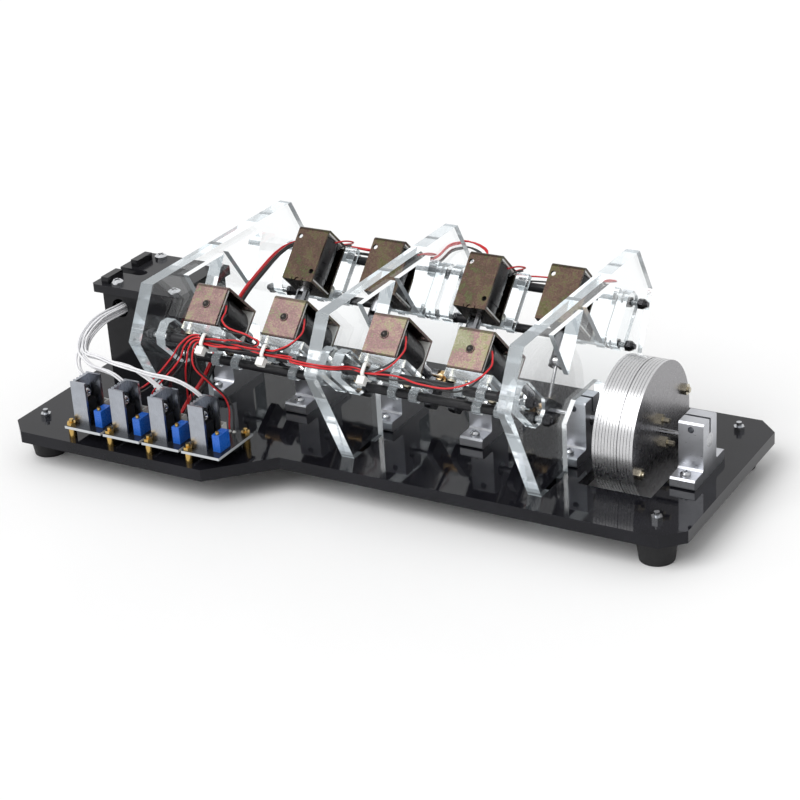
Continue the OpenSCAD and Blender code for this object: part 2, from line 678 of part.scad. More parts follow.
module support_screws() color("#b9bcc0") for (x = all_supports, s = [-1, 1]) over_base() translate([x, s * support_screw_pitch / 2, 0]) {
    translate([0, 0, support_foot_t]) pan_screw(support_foot_t + base_t + nut_h + thread_tip);
    translate([0, 0, -base_t - nut_h]) hex_nut();
}

// Two shielded ball bearings in each support: outer rings stand, cores turn
core_d = shaft_d + 2 * race_t;
module each_bearing() for (x = all_supports, s = [-1, 1]) on_axis() translate([x + (s > 0 ? support_l / 2 - bearing_l : -support_l / 2), 0, 0]) children();
module bearing_rings() color("#b7babd") each_bearing() difference() {
    rod_along_x(bearing_l, bearing_d);
    translate([-loose, 0, 0]) rod_along_x(bearing_l + 2 * loose, core_d + 2 * run_fit);
    translate([shield_in, 0, 0]) rod_along_x(bearing_l - 2 * shield_in, bearing_d - 2 * race_t);
}
module bearing_cores() color("#d5d7da") each_bearing() difference() {
    rod_along_x(bearing_l, core_d);
    translate([-loose, 0, 0]) rod_along_x(bearing_l + 2 * loose, shaft_d);
}

// Crankshaft: lengths of shaft between the webs, and four crankpins
web_edge = pin_half + web_t;
shaft_runs = [
    [shaft_left, throws[0][0] - pin_half], [throws[0][0] + pin_half, throws[1][0] - pin_half],
    [throws[1][0] + pin_half, throws[2][0] - pin_half], [throws[2][0] + pin_half, throws[3][0] - pin_half],
    [throws[3][0] + pin_half, shaft_right]
];
module crankshaft() color("#d9dbde") on_axis() {
    for (r = shaft_runs) translate([r[0], 0, 0]) rod_along_x(r[1] - r[0], shaft_d);
    for (t = throws) rotate([t[1], 0, 0]) translate([t[0] - web_edge, crank_r, 0]) rod_along_x(2 * web_edge, shaft_d);
}
module crank_web() difference() {
    union() {
        translate([0, -web_half_l + web_corner, -web_w / 2]) cube([web_t, 2 * (web_half_l - web_corner), web_w]);
        translate([0, -web_half_l, -web_w / 2 + web_corner]) cube([web_t, 2 * web_half_l, web_w - 2 * web_corner]);
        for (y = [-1, 1], z = [-1, 1]) translate([0, y * (web_half_l - web_corner), z * (web_w / 2 - web_corner)]) rod_along_x(web_t, 2 * web_corner);
    }
    for (y = [0, crank_r]) translate([-loose, y, 0]) rod_along_x(web_t + 2 * loose, shaft_d);
}
module crank_webs() color("#6f7276") on_axis() for (t = throws) rotate([t[1], 0, 0])
    for (x = [t[0] - web_edge, t[0] + pin_half]) translate([x, 0, 0]) crank_web();

// Flywheel: steel discs whose joints show on the rim
module rim_groove(x, w) translate([flywheel_x + x - w / 2, 0, 0]) difference() {
    rod_along_x(w, flywheel_d + loose);
    translate([-w, 0, 0]) rod_along_x(3 * w, flywheel_d - 2 * open_groove);
}
rim_bolt_r = flywheel_d / 2 * rim_bolt_r_share;
bolt_spots = [[rim_bolt_deg, rim_bolt_r], [rim_bolt_deg + 180, rim_bolt_r], [rim_bolt_deg + 90, hub_bolt_r], [rim_bolt_deg - 90, hub_bolt_r]];
module flywheel() color("#a9abae") on_axis() difference() {
    translate([flywheel_x, 0, 0]) rod_along_x(flywheel_l, flywheel_d);
    translate([flywheel_x - loose, 0, 0]) rod_along_x(flywheel_l + 2 * loose, shaft_d);
    for (i = [1 : disc_n - 1]) rim_groove(i * disc_t, i == open_after ? open_groove : disc_groove);
    for (p = bolt_spots) rotate([p[0], 0, 0]) translate([flywheel_x - loose, p[1], 0]) rod_along_x(flywheel_l + 2 * loose, screw_d);
}
module flywheel_bolts() color("#c7b98f") on_axis() for (i = [0 : 3]) rotate([bolt_spots[i][0], 0, 0]) translate([flywheel_x, bolt_spots[i][1], 0]) {
    rod_along_x(flywheel_l + nut_h + (i < 2 ? thread_tip : 3 * thread_tip), screw_d);
    translate([flywheel_l, 0, 0]) hex_along_x(nut_h);
    rotate([0, -90, 0]) pan_screw(0);
}
module timing_disc() color("#3c3f45") on_axis() {
    difference() {
        union() {
            translate([timing_x, 0, 0]) rod_along_x(timing_t, 2 * disc_r);
            translate([timing_x - hub_l, 0, 0]) rod_along_x(hub_l, hub_d);
        }
        translate([timing_x - 2 * hub_l, 0, 0]) rod_along_x(4 * hub_l, shaft_d);
    }
    rotate([crank_rest, 0, 0]) translate([timing_x + timing_t, sensor_r, 0]) rod_along_x(magnet_proud, magnet_d);
}

// Connecting rod, drawn from its crankpin towards the plunger
module con_rod_shape() {
    difference() {
        union() {
            translate([-big_end_w / 2, 0, 0]) rod_along_x(big_end_w, big_end_d);
            cylinder(h = big_end_d / 2 + big_boss_l, d = big_boss_d);
            cylinder(h = rod_l, d = rod_shank_d);
            translate([-eye_t / 2, 0, rod_l]) rod_along_x(eye_t, eye_d);
            translate([pin_gap - fork_gap / 2, 0, rod_l]) rod_along_x(fork_gap - 2 * pin_gap, clevis_d);
        }
        translate([-big_end_w, 0, 0]) rod_along_x(2 * big_end_w, shaft_d + 2 * run_fit);
    }
}
module con_rod(t, b) color("#b98a4a") translate([rod_x(t, b), crank_y + throw_y(t), axis_z + throw_z(t)])
    rotate([banks[b] - 90 - rod_lean(t, b), 0, 0]) con_rod_shape();
module con_rod_1() con_rod(0, 0);
module con_rod_2() con_rod(1, 0);
module con_rod_3() con_rod(2, 0);
module con_rod_4() con_rod(3, 0);
module con_rod_5() con_rod(0, 1);
module con_rod_6() con_rod(1, 1);
module con_rod_7() con_rod(2, 1);
module con_rod_8() con_rod(3, 1);

// Plunger with its forked end and the ends of its pin, drawn from the pin outwards.
// The pin's middle is on the rod, and the slot clears the rod's eye over the whole stroke
module plunger_shape() difference() {
    union() {
        translate([0, 0, -ear_end]) cylinder(h = plunger_l, d = plunger_d);
        translate([-plunger_d / 2 - pin_proud, 0, 0]) rod_along_x(plunger_d + 2 * pin_proud, clevis_d);
    }
    translate([-fork_gap / 2, -plunger_d, -plunger_d]) cube([fork_gap, 2 * plunger_d, plunger_d + fork_depth - ear_end]);
}
module plunger(t, b) color("#8d9095") in_bank(b) translate([rod_x(t, b), 0, pin_reach(t, b)]) plunger_shape();
module plunger_1() plunger(0, 0);
module plunger_2() plunger(1, 0);
module plunger_3() plunger(2, 0);
module plunger_4() plunger(3, 0);
module plunger_5() plunger(0, 1);
module plunger_6() plunger(1, 1);
module plunger_7() plunger(2, 1);
module plunger_8() plunger(3, 1);

// Control box: walls, with the end wall's two ribs standing through the lid
box_x0 = lid_x + end_over;
box_x1 = lid_x + lid_l - lid_over;
box_half = lid_w / 2 - lid_over;
sensor_w = 2 * (box_half - panel_t - sensor_side);
wall_h = box_h - panel_t;
rib_y = [feature_y - rib_gap / 2 - rib_l, feature_y + rib_gap / 2];
module control_box() color("#1c1c20") over_base() difference() {
    union() {
        difference() {
            translate([box_x0, -box_half, 0]) cube([box_x1 - box_x0, 2 * box_half, wall_h]);
            translate([box_x0 + panel_t, -box_half + panel_t, -loose]) cube([box_x1 - box_x0 - 2 * panel_t, 2 * (box_half - panel_t), wall_h + 2 * loose]);
        }
        for (y = rib_y) translate([box_x0, y, wall_h]) cube([panel_t, rib_l, panel_t + rib_h]);
    }
    for (x = lid_screw_x, s = [-1, 1]) translate([lid_x + x, s * lid_screw_y, box_h - lid_shank - loose]) cylinder(h = lid_shank + box_h, d = screw_d);
    translate([box_x1 - 2 * panel_t, 0, axis_h]) rod_along_x(3 * panel_t, shaft_hole_d);
    translate([lid_x + wire_hole_x, -box_half - panel_t, wire_hole_z]) rod_along_y(3 * panel_t, wire_hole_d);
    translate([lid_x + jack_x, box_half - 2 * panel_t, jack_z]) rod_along_y(3 * panel_t, jack_d);
}
module control_box_lid() color("#2b2b31") over_base() translate([lid_x, 0, wall_h]) difference() {
    linear_extrude(panel_t) polygon([
        [lid_cham, -lid_w / 2], [lid_l - lid_cham, -lid_w / 2], [lid_l, -lid_w / 2 + lid_cham], [lid_l, lid_w / 2 - lid_cham],
        [lid_l - lid_cham, lid_w / 2], [lid_cham, lid_w / 2], [0, lid_w / 2 - lid_cham], [0, -lid_w / 2 + lid_cham]
    ]);
    translate([-loose, feature_y - notch_w / 2, -loose]) cube([notch_l - notch_w / 2 + loose, notch_w, panel_t + 2 * loose]);
    translate([notch_l - notch_w / 2, feature_y, -loose]) cylinder(h = panel_t + 2 * loose, d = notch_w);
    for (y = rib_y) translate([end_over - slide_fit, y - slide_fit, -loose]) cube([panel_t + 2 * slide_fit, rib_l + 2 * slide_fit, panel_t + 2 * loose]);
    for (x = lid_screw_x, s = [-1, 1]) translate([x, s * lid_screw_y, -loose]) cylinder(h = panel_t + 2 * loose, d = screw_hole_d);
}
module lid_screws() color("#d4d6d8") over_base() for (x = lid_screw_x, s = [-1, 1]) translate([lid_x + x, s * lid_screw_y, box_h]) pan_screw(lid_shank, lid_pan_d, lid_pan_h);
module sensor_board() color("#1f5a3a") over_base() difference() {
    union() {
        translate([sensor_x, -sensor_w / 2, 0]) cube([board_t, sensor_w, sensor_h]);
        for (turn = [45 : 90 : 315]) translate([sensor_x - sensor_chip[0], sensor_r * cos(turn) - sensor_chip[1] / 2, axis_h + sensor_r * sin(turn) - sensor_chip[2] / 2]) cube(sensor_chip);
    }
    translate([sensor_x - loose, 0, axis_h]) rod_along_x(board_t + 2 * loose, shaft_hole_d);
}
module power_jack() color("#101012") over_base() translate([lid_x + jack_x, box_half, jack_z]) difference() {
    union() {
        translate([0, -jack_l + jack_flange_t, 0]) rod_along_y(jack_l, jack_d);
        rod_along_y(jack_flange_t, jack_flange_d);
        translate([0, -panel_t - jack_flange_t, 0]) rod_along_y(jack_flange_t, jack_flange_d);
    }
    difference() {
        translate([0, jack_flange_t - jack_bore_l, 0]) rod_along_y(jack_bore_l + loose, jack_bore_d);
        translate([0, jack_flange_t - 2 * jack_bore_l, 0]) rod_along_y(2 * jack_bore_l - thread_tip, jack_pin_d);
    }
}

// Driver boards along the wide front edge
function standoff_spots(i) = [[board_x(i) + standoff_in, board_y + standoff_in], [board_x(i) + board_w - standoff_in, board_y + board_d - standoff_in]];
board_top = standoff_h + board_t;
module each_board() over_base() for (i = [0 : board_n - 1]) translate([board_x(i), board_y, board_top]) children();
module driver_boards() color("#15171a") over_base() for (i = [0 : board_n - 1]) difference() {
    translate([board_x(i), board_y, standoff_h]) cube([board_w, board_d, board_t]);
    for (p = standoff_spots(i)) translate([p[0], p[1], 0]) cylinder(h = 2 * standoff_h, d = stud_d);
}
module board_standoffs() color("#b58f4c") over_base() for (i = [0 : board_n - 1], p = standoff_spots(i)) translate([p[0], p[1], 0]) {
    cylinder(h = standoff_h, d = standoff_d);
    translate([0, 0, -base_t / 2]) cylinder(h = base_t / 2 + board_top + nut_h + thread_tip, d = stud_d);
    translate([0, 0, board_top]) cylinder(h = small_nut_h, d = small_nut_d, $fn = hex_sides);
}
fin_step = (sink_d - fin_w) / (fin_n - 1);
module heat_sinks() color("#d0d3d8") each_board() translate([sink_x, sink_y, 0]) difference() {
    union() {
        cube([sink_wall, sink_d, sink_h]);
        for (y = [0, sink_d - sink_wall]) translate([0, y, 0]) cube([sink_w, sink_wall, sink_h]);
        for (i = [0 : fin_n - 1]) translate([-fin_out, i * fin_step, 0]) cube([fin_out, fin_w, sink_h]);
    }
    translate([-2 * fin_out, sink_d / 2, leg_h + tab_hole_up]) rod_along_x(sink_w, screw_d);
}
module transistors() color("#1a1a1c") each_board() translate([sink_x + sink_wall, sink_y + sink_d / 2, leg_h]) {
    difference() {
        union() {
            translate([0, -body_w / 2, 0]) cube([tab_t, body_w, tab_h]);
            translate([0, -body_w / 2, 0]) cube([body_t, body_w, body_h]);
        }
        translate([-loose, 0, tab_hole_up]) rod_along_x(2 * tab_t, screw_d);
    }
    for (i = [-1 : 1]) translate([body_t / 2, i * leg_pitch - leg_w / 2, -leg_h]) cube([leg_t, leg_w, leg_h]);
    translate([tab_t, 0, tab_hole_up]) rotate([0, 90, 0]) pan_screw(tab_t + sink_wall);
}
module trimmers() color("#1f5fc8") each_board() translate([trim_x, trim_y, 0]) difference() {
    cube([trim_w, trim_d, trim_h]);
    translate([trim_w / 2, trim_screw_in, trim_h - trim_screw_sunk]) cylinder(h = trim_h, d = trim_screw_d + 2 * run_fit);
}
module trimmer_screw(i) color("#c9a24a") over_base() translate([board_x(i) + trim_x + trim_w / 2, board_y + trim_y + trim_screw_in, board_top + trim_h - trim_screw_sunk + run_fit]) difference() {
    cylinder(h = trim_screw_sunk + trim_screw_h, d = trim_screw_d);
    translate([-trim_screw_d, -trim_slit / 2, trim_screw_sunk + trim_screw_h / 2]) cube([2 * trim_screw_d, trim_slit, trim_screw_h]);
}
module trimmer_screw_1() trimmer_screw(0);
module trimmer_screw_2() trimmer_screw(1);
module trimmer_screw_3() trimmer_screw(2);
module trimmer_screw_4() trimmer_screw(3);
module board_terminals() color("#e9e9e4") each_board() {
    translate([header_x, header_y, 0]) difference() {
        cube([header_w, header_d, header_h]);
        translate([header_wall, header_wall, header_h / 2]) cube([header_w - 2 * header_wall, header_d - 2 * header_wall, header_h]);
    }
    for (x = pad_x) translate([x, board_d - pad_in, 0]) cylinder(h = pad_h, d1 = pad_d, d2 = pad_d / 2);
}

// Wires: an eight-sided tube swept along its route
function unit(v) = v / norm(v);
function heading(p, i) = unit(p[min(i + 1, len(p) - 1)] - p[max(i - 1, 0)]);
function wire_ring(p, i, d) = let (h = heading(p, i), a = unit(cross(h, askew)), c = cross(h, a))
    [for (k = [0 : wire_sides - 1]) p[i] + d / 2 * (a * cos(360 * k / wire_sides) + c * sin(360 * k / wire_sides))];
module wire(p, d) {
    n = wire_sides;
    last = len(p) - 1;
    points = [for (i = [0 : last]) each wire_ring(p, i, d)];
    sides = [for (i = [0 : last - 1], k = [0 : n - 1], half = [0, 1])
        half == 0 ? [i * n + k, i * n + (k + 1) % n, (i + 1) * n + k] : [i * n + (k + 1) % n, (i + 1) * n + (k + 1) % n, (i + 1) * n + k]];
    polyhedron(points, concat([[for (k = [0 : n - 1]) n - 1 - k]], [[for (k = [0 : n - 1]) last * n + k]], sides));
}
module white_wires() color("#f4f4f6") over_base() for (i = [0 : 3]) wire(white_route(i), white_loom_d);
module red_wires() color("#e0262b") over_base() {
    for (k = [0 : 3]) {
        wire(front_route(k, 1), wire_d);
        wire(rear_lead(k, 1), wire_d);
    }
    wire(rear_loom(1), loom_d);
}
module black_wires() color("#101012") over_base() {
    for (k = [0 : 3]) {
        wire(front_route(k, 0), wire_d);
        wire(rear_lead(k, 0), wire_d);
    }
    wire(rear_loom(0), loom_d);
}

// Cable ties round the sleeve and the leads beside it
module tie_ring(grow) {
    x0 = -tie_w / 2 - (grow > 0 ? 0 : loose);
    l = tie_w + (grow > 0 ? 0 : 2 * loose);
    r = tie_round + grow;
    translate([x0, tie_box[0] - grow, tie_box[2] + tie_round]) cube([l, tie_box[1] - tie_box[0] + 2 * grow, tie_box[3] - tie_box[2] - 2 * tie_round]);
    translate([x0, tie_box[0] + tie_round, tie_box[2] - grow]) cube([l, tie_box[1] - tie_box[0] - 2 * tie_round, tie_box[3] - tie_box[2] + 2 * grow]);
    for (w = [tie_box[0] + tie_round, tie_box[1] - tie_round], d = [tie_box[2] + tie_round, tie_box[3] - tie_round]) translate([x0, w, d]) rod_along_x(l, 2 * r);
}
module cable_ties() color("#f0f0f2") for (x = clip_places) in_bank(0) translate([x, 0, 0]) {
    difference() {
        tie_ring(tie_wall);
        tie_ring(0);
    }
    translate([-tie_head[0] / 2, tie_box[1] + tie_wall, tie_box[3] - tie_head[2]]) cube(tie_head);
}

base_plate();
rubber_feet();
foot_bolts();
frame_plate_left();
frame_plate_middle();
frame_plate_right();
bank_brackets();
solenoid_blocks();
tie_rods();
rod_sleeves();
rod_nuts();
shaft_supports();
bearing_rings();
support_screws();
solenoid_frames_front();
solenoid_frames_rear();
coils();
bobbins();
solenoid_screws();
control_box();
control_box_lid();
lid_screws();
sensor_board();
power_jack();
driver_boards();
board_standoffs();
heat_sinks();
transistors();
trimmers();
board_terminals();
white_wires();
red_wires();
black_wires();
cable_ties();
crankshaft();
crank_webs();
flywheel();
flywheel_bolts();
timing_disc();
bearing_cores();
con_rod_1();
con_rod_2();
con_rod_3();
con_rod_4();
con_rod_5();
con_rod_6();
con_rod_7();
con_rod_8();
plunger_1();
plunger_2();
plunger_3();
plunger_4();
plunger_5();
plunger_6();
plunger_7();
plunger_8();
trimmer_screw_1();
trimmer_screw_2();
trimmer_screw_3();
trimmer_screw_4();
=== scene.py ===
# %% [markdown]
# # A solenoid motor for the classroom
# Eight pull solenoids in two banks turn a small crankshaft with a heavy flywheel.
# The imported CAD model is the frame: it holds every size, so this script only adds
# the looks. Everything is in metres, with +X along the shaft and +Z up.

# %% Load the frame
import math

import bpy
from mathutils import Matrix, Vector


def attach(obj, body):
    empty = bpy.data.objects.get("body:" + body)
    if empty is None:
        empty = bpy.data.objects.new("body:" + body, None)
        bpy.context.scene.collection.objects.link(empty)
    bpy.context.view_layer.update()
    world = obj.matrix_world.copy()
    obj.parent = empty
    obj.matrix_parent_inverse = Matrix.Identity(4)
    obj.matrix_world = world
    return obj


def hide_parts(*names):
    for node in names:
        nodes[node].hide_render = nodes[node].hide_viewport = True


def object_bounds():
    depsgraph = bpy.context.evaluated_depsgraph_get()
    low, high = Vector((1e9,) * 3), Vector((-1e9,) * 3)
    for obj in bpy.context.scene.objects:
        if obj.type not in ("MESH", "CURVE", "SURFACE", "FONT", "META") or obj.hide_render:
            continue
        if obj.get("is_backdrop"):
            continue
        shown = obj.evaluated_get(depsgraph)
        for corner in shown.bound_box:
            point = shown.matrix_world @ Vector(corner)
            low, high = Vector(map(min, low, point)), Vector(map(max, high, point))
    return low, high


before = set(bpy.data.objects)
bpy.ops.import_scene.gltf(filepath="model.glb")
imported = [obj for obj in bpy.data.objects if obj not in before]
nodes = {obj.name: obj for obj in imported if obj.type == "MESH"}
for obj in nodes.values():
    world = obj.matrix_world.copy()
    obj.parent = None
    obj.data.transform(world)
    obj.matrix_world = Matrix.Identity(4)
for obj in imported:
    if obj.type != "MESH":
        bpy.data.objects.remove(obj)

cad_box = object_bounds()
MM = 0.001

# %% [markdown]
# The camera stands to the right of the motor, above it, with a long lens, which
# keeps the three clear plates nearly parallel. A camera could be aimed by a track
# constraint, but a yaw, a pitch and a small roll say exactly how it was held.

# %% Camera
CAMERA_AT = Vector((0.5583, -0.9068, 0.5296))
YAW, PITCH, ROLL = -0.5465, 0.4353, -0.0656
LENS_MM = 93.6

forward = Vector((math.sin(YAW) * math.cos(PITCH), math.cos(YAW) * math.cos(PITCH),
                  -math.sin(PITCH)))
level = forward.cross(Vector((0, 0, 1))).normalized()
above = level.cross(forward)
right = math.cos(ROLL) * level + math.sin(ROLL) * above
up = math.cos(ROLL) * above - math.sin(ROLL) * level

lens = bpy.data.cameras.new("camera")
lens.lens, lens.sensor_width, lens.clip_start = LENS_MM, 36, 0.01
camera = bpy.data.objects.new("camera", lens)
turned_to = Matrix((right, up, -forward)).transposed().to_4x4()
camera.matrix_world = Matrix.Translation(CAMERA_AT) @ turned_to
bpy.context.scene.collection.objects.link(camera)
bpy.context.scene.camera = camera
bpy.context.scene.view_settings.view_transform = "Standard"
print("camera looks along", [round(c, 3) for c in forward])

# %% [markdown]
# Most finishes are the same few marks of wear at other scales, so each mark is a
# shader node group. Three short helpers keep the node code readable: one adds a
# node, one builds a group with named sockets, and one places a group in a material.

# %% Helpers for shader nodes
FLOAT, COLOUR, VECTOR = "NodeSocketFloat", "NodeSocketColor", "NodeSocketVector"


def add(tree, kind, inputs=None, **settings):
    """Adds a node. An input is a plain value or another node's output."""
    new = tree.nodes.new("ShaderNode" + kind)
    for name, value in settings.items():
        setattr(new, name, value)
    for name, value in (inputs or {}).items():
        if isinstance(value, bpy.types.NodeSocket):
            tree.links.new(value, new.inputs[name])
        else:
            new.inputs[name].default_value = value
    return new


def effect(name, inputs, outputs, build):
    """A node group. build(tree, inputs) returns one output socket for each name in outputs."""
    tree = bpy.data.node_groups.new(name, "ShaderNodeTree")
    for label, kind, value in inputs:
        tree.interface.new_socket(label, in_out="INPUT", socket_type=kind).default_value = value
    for label, kind in outputs:
        tree.interface.new_socket(label, in_out="OUTPUT", socket_type=kind)
    start, end = tree.nodes.new("NodeGroupInput"), tree.nodes.new("NodeGroupOutput")
    for (label, _), made in zip(outputs, build(tree, start.outputs)):
        tree.links.new(made, end.inputs[label])
    return tree


def place(tree, group, **inputs):
    """Places a group in a tree and returns its outputs."""
    return add(tree, "Group", inputs, node_tree=group).outputs


def scaled_position(tree, stretch=(1, 1, 1)):
    """The place on the part, in metres, stretched per axis."""
    here = add(tree, "TexCoord").outputs["Object"]
    return add(tree, "VectorMath", {0: here, 1: stretch}, operation="MULTIPLY").outputs[0]


NOISE_LOW, NOISE_HIGH = 0.3, 0.7


def spread(tree, value, low, high):
    """Maps a noise value, which keeps to its middle, to the range from low to high."""
    return add(tree, "MapRange", {"Value": value, "From Min": NOISE_LOW, "From Max": NOISE_HIGH,
                                  "To Min": low, "To Max": high}).outputs[0]


helpers = (add, effect, place, scaled_position, spread)
print("node helpers:", ", ".join(helper.__name__ for helper in helpers))

# %% [markdown]
# **Tone** lets a colour drift between two shades, as paint, plating and plastic do.
# **Grain** makes fine marks that can be long in one direction, as brushing is. It
# puts out a roughness and a height, so the marks both scatter light and catch it.

# %% Tone and grain
MIX_FIRST, MIX_SECOND, MIX_RESULT = 6, 7, 2


def mix_colour(tree, factor, first, second, how="MIX"):
    """Mixes two colours. A Mix node has a socket of each kind, so they are found by place."""
    given = {"Factor": factor, MIX_FIRST: first, MIX_SECOND: second}
    return add(tree, "Mix", given, data_type="RGBA", blend_type=how).outputs[MIX_RESULT]


def build_tone(tree, given):
    """A colour between two shades, and the mask that mixed them."""
    noise = add(tree, "TexNoise", {"Vector": scaled_position(tree),
                                   "Scale": given["Scale"], "Detail": 4.0, "Roughness": 0.6})
    mask = spread(tree, noise.outputs[0], 0.0, 1.0)
    return [mix_colour(tree, mask, given["Shade"], given["Light"]), mask]


tone = effect("Tone", [("Shade", COLOUR, (0.4, 0.4, 0.4, 1)),
                       ("Light", COLOUR, (0.6, 0.6, 0.6, 1)), ("Scale", FLOAT, 200.0)],
              [("Colour", COLOUR), ("Mask", FLOAT)], build_tone)


def build_grain(tree, given):
    """Fine marks, as a roughness between two values and as a height."""
    noise = add(tree, "TexNoise", {"Vector": scaled_position(tree, given["Stretch"]),
                                   "Scale": given["Scale"], "Detail": 6.0, "Roughness": 0.65})
    return [spread(tree, noise.outputs[0], given["Smooth"], given["Rough"]), noise.outputs[0]]


grain = effect("Grain", [("Stretch", VECTOR, (1, 1, 1)), ("Scale", FLOAT, 900.0),
                         ("Smooth", FLOAT, 0.3), ("Rough", FLOAT, 0.5)],
               [("Roughness", FLOAT), ("Height", FLOAT)], build_grain)
print("effects:", [g.name for g in bpy.data.node_groups])

# %% [markdown]
# One function then makes every plain finish: a colour that drifts, a roughness that
# varies with the grain, and a faint bump from the same grain. A metal, a moulded
# plastic and a rubber differ only in these values. Values that are the same all over
# go straight on the shader's own sockets.

# %% A plain finish
def new_material(name):
    """A new material, with its node tree and its Principled shader."""
    made = bpy.data.materials.new(name)
    made.use_nodes = True
    return made, made.node_tree, made.node_tree.nodes["Principled BSDF"]


def relief(tree, shader, strength, depth, height):
    """A bump from a height, at most as deep as depth in metres."""
    bump = add(tree, "Bump", {"Strength": strength, "Distance": depth, "Height": height})
    tree.links.new(bump.outputs[0], shader.inputs["Normal"])


def finish(name, colour, rough, metal=0.0, drift=0.12, drift_scale=160.0, stretch=(1, 1, 1),
           grain_scale=1400.0, vary=0.25, bump=0.15, depth=0.00002, sheen=0.5):
    """A finish whose colour drifts by a share and whose roughness varies by a share."""
    made, tree, shader = new_material(name)
    shade = [c * (1 - drift) for c in colour] + [1]
    light = [min(1, c * (1 + drift)) for c in colour] + [1]
    tree.links.new(place(tree, tone, Shade=shade, Light=light, Scale=drift_scale)["Colour"],
                   shader.inputs["Base Color"])
    marks = place(tree, grain, Stretch=stretch, Scale=grain_scale, Smooth=rough * (1 - vary),
                  Rough=min(1, rough * (1 + vary)))
    tree.links.new(marks["Roughness"], shader.inputs["Roughness"])
    relief(tree, shader, bump, depth, marks["Height"])
    shader.inputs["Metallic"].default_value = metal
    shader.inputs["Specular IOR Level"].default_value = sheen
    return made


def opened(made):
    """A finish's node tree, its shader, and the colour that feeds the shader."""
    shader = made.node_tree.nodes["Principled BSDF"]
    return made.node_tree, shader, shader.inputs["Base Color"].links[0].from_socket


def paint(material, *names):
    """Gives CAD nodes their finish."""
    for name in names:
        mesh = nodes[name].data
        mesh.materials.clear()
        mesh.materials.append(material)
    print(material.name, "on", ", ".join(names))


def numbered(name, count):
    """The names of pieces that differ only in their number."""
    return [name % i for i in range(1, count + 1)]


# %% [markdown]
# The base and the control box are laser-cut acrylic sheet, glossy enough to mirror
# what stands on them. A low roughness gives the mirror, and a low sheen keeps it dark,
# so that it shows the pieces above it better than the room.

# %% Black acrylic and rubber
paint(finish("black acrylic", (0.009, 0.009, 0.012), 0.05, drift=0.3, drift_scale=30, vary=0.5,
             bump=0.02, sheen=0.2), "base_plate")
paint(finish("black panels", (0.012, 0.012, 0.014), 0.11, drift=0.3, drift_scale=60, vary=0.4,
             bump=0.03, sheen=0.2), "control_box")
paint(finish("smoked lid", (0.018, 0.018, 0.021), 0.14, drift=0.25, drift_scale=60, vary=0.4,
             bump=0.03, sheen=0.15), "control_box_lid")
paint(finish("rubber", (0.016, 0.016, 0.017), 0.62, drift=0.2, grain_scale=2600, bump=0.4,
             sheen=0.25), "rubber_feet")
paint(finish("black moulding", (0.014, 0.014, 0.015), 0.4, grain_scale=3000, bump=0.2,
             sheen=0.25), "power_jack", "transistors")
paint(finish("black sleeve", (0.016, 0.016, 0.018), 0.3, grain_scale=2000, stretch=(0.1, 1, 1),
             bump=0.2, sheen=0.25), "rod_sleeves")

# %% [markdown]
# Metals mirror the white studio, so a middle grey already looks bright, and their
# detail is in the grain: drawn or turned pieces have marks along the shaft. One plain
# colour for all metal would be simpler, but steel, zinc and brass stand side by side here.

# %% Steel, aluminium and brass
paint(finish("machined aluminium", (0.52, 0.53, 0.56), 0.34, 1.0, drift=0.06,
             stretch=(0.15, 1, 1), grain_scale=1800, bump=0.3), "shaft_supports")
paint(finish("bright heat sink", (0.37, 0.39, 0.43), 0.3, 1.0, drift=0.08, stretch=(1, 1, 0.08),
             grain_scale=2400, bump=0.35), "heat_sinks")
paint(finish("ground steel", (0.50, 0.51, 0.53), 0.16, 1.0, drift=0.05, stretch=(1, 0.1, 0.1),
             grain_scale=3000, bump=0.2), "crankshaft", "bearing_rings", "bearing_cores")
paint(finish("dark webs", (0.12, 0.123, 0.132), 0.3, 1.0, drift=0.15, grain_scale=1800,
             bump=0.3), "crank_webs")
paint(finish("plunger steel", (0.28, 0.285, 0.30), 0.24, 1.0, drift=0.12, grain_scale=2200,
             bump=0.25), *numbered("plunger_%d", 8))
paint(finish("turned brass", (0.54, 0.36, 0.12), 0.22, 1.0, drift=0.12, grain_scale=2200,
             bump=0.25), "board_standoffs", *numbered("trimmer_screw_%d", 4))
paint(finish("zinc plate", (0.48, 0.49, 0.51), 0.2, 1.0, drift=0.1, grain_scale=2600,
             bump=0.25), "foot_bolts", "support_screws")
paint(finish("blackened nuts", (0.045, 0.045, 0.048), 0.28, 1.0, drift=0.1, grain_scale=2600,
             bump=0.25), "rod_nuts")
paint(finish("nickel plate", (0.60, 0.61, 0.63), 0.1, 1.0, drift=0.05, grain_scale=2600,
             bump=0.1), "lid_screws")
paint(finish("yellow zinc", (0.46, 0.42, 0.33), 0.24, 1.0, drift=0.2, grain_scale=2200,
             bump=0.2), "solenoid_screws", "flywheel_bolts")

# %% [markdown]
# Nylon, wire insulation and the blue trimmers are plain mouldings. What makes them
# look moulded is a soft roughness that varies a little, and hardly any bump. The black
# boards are sawn from glass fibre, so their edges get a paler colour by a mask.

# %% Plastics
paint(finish("white nylon", (0.82, 0.82, 0.79), 0.42, drift=0.04, bump=0.1), "bobbins",
      "cable_ties", "board_terminals")
paint(finish("blue moulding", (0.012, 0.115, 0.52), 0.28, drift=0.08, bump=0.1), "trimmers")
paint(finish("dark disc", (0.04, 0.042, 0.046), 0.4), "timing_disc")
paint(finish("green board", (0.01, 0.07, 0.035), 0.3), "sensor_board")


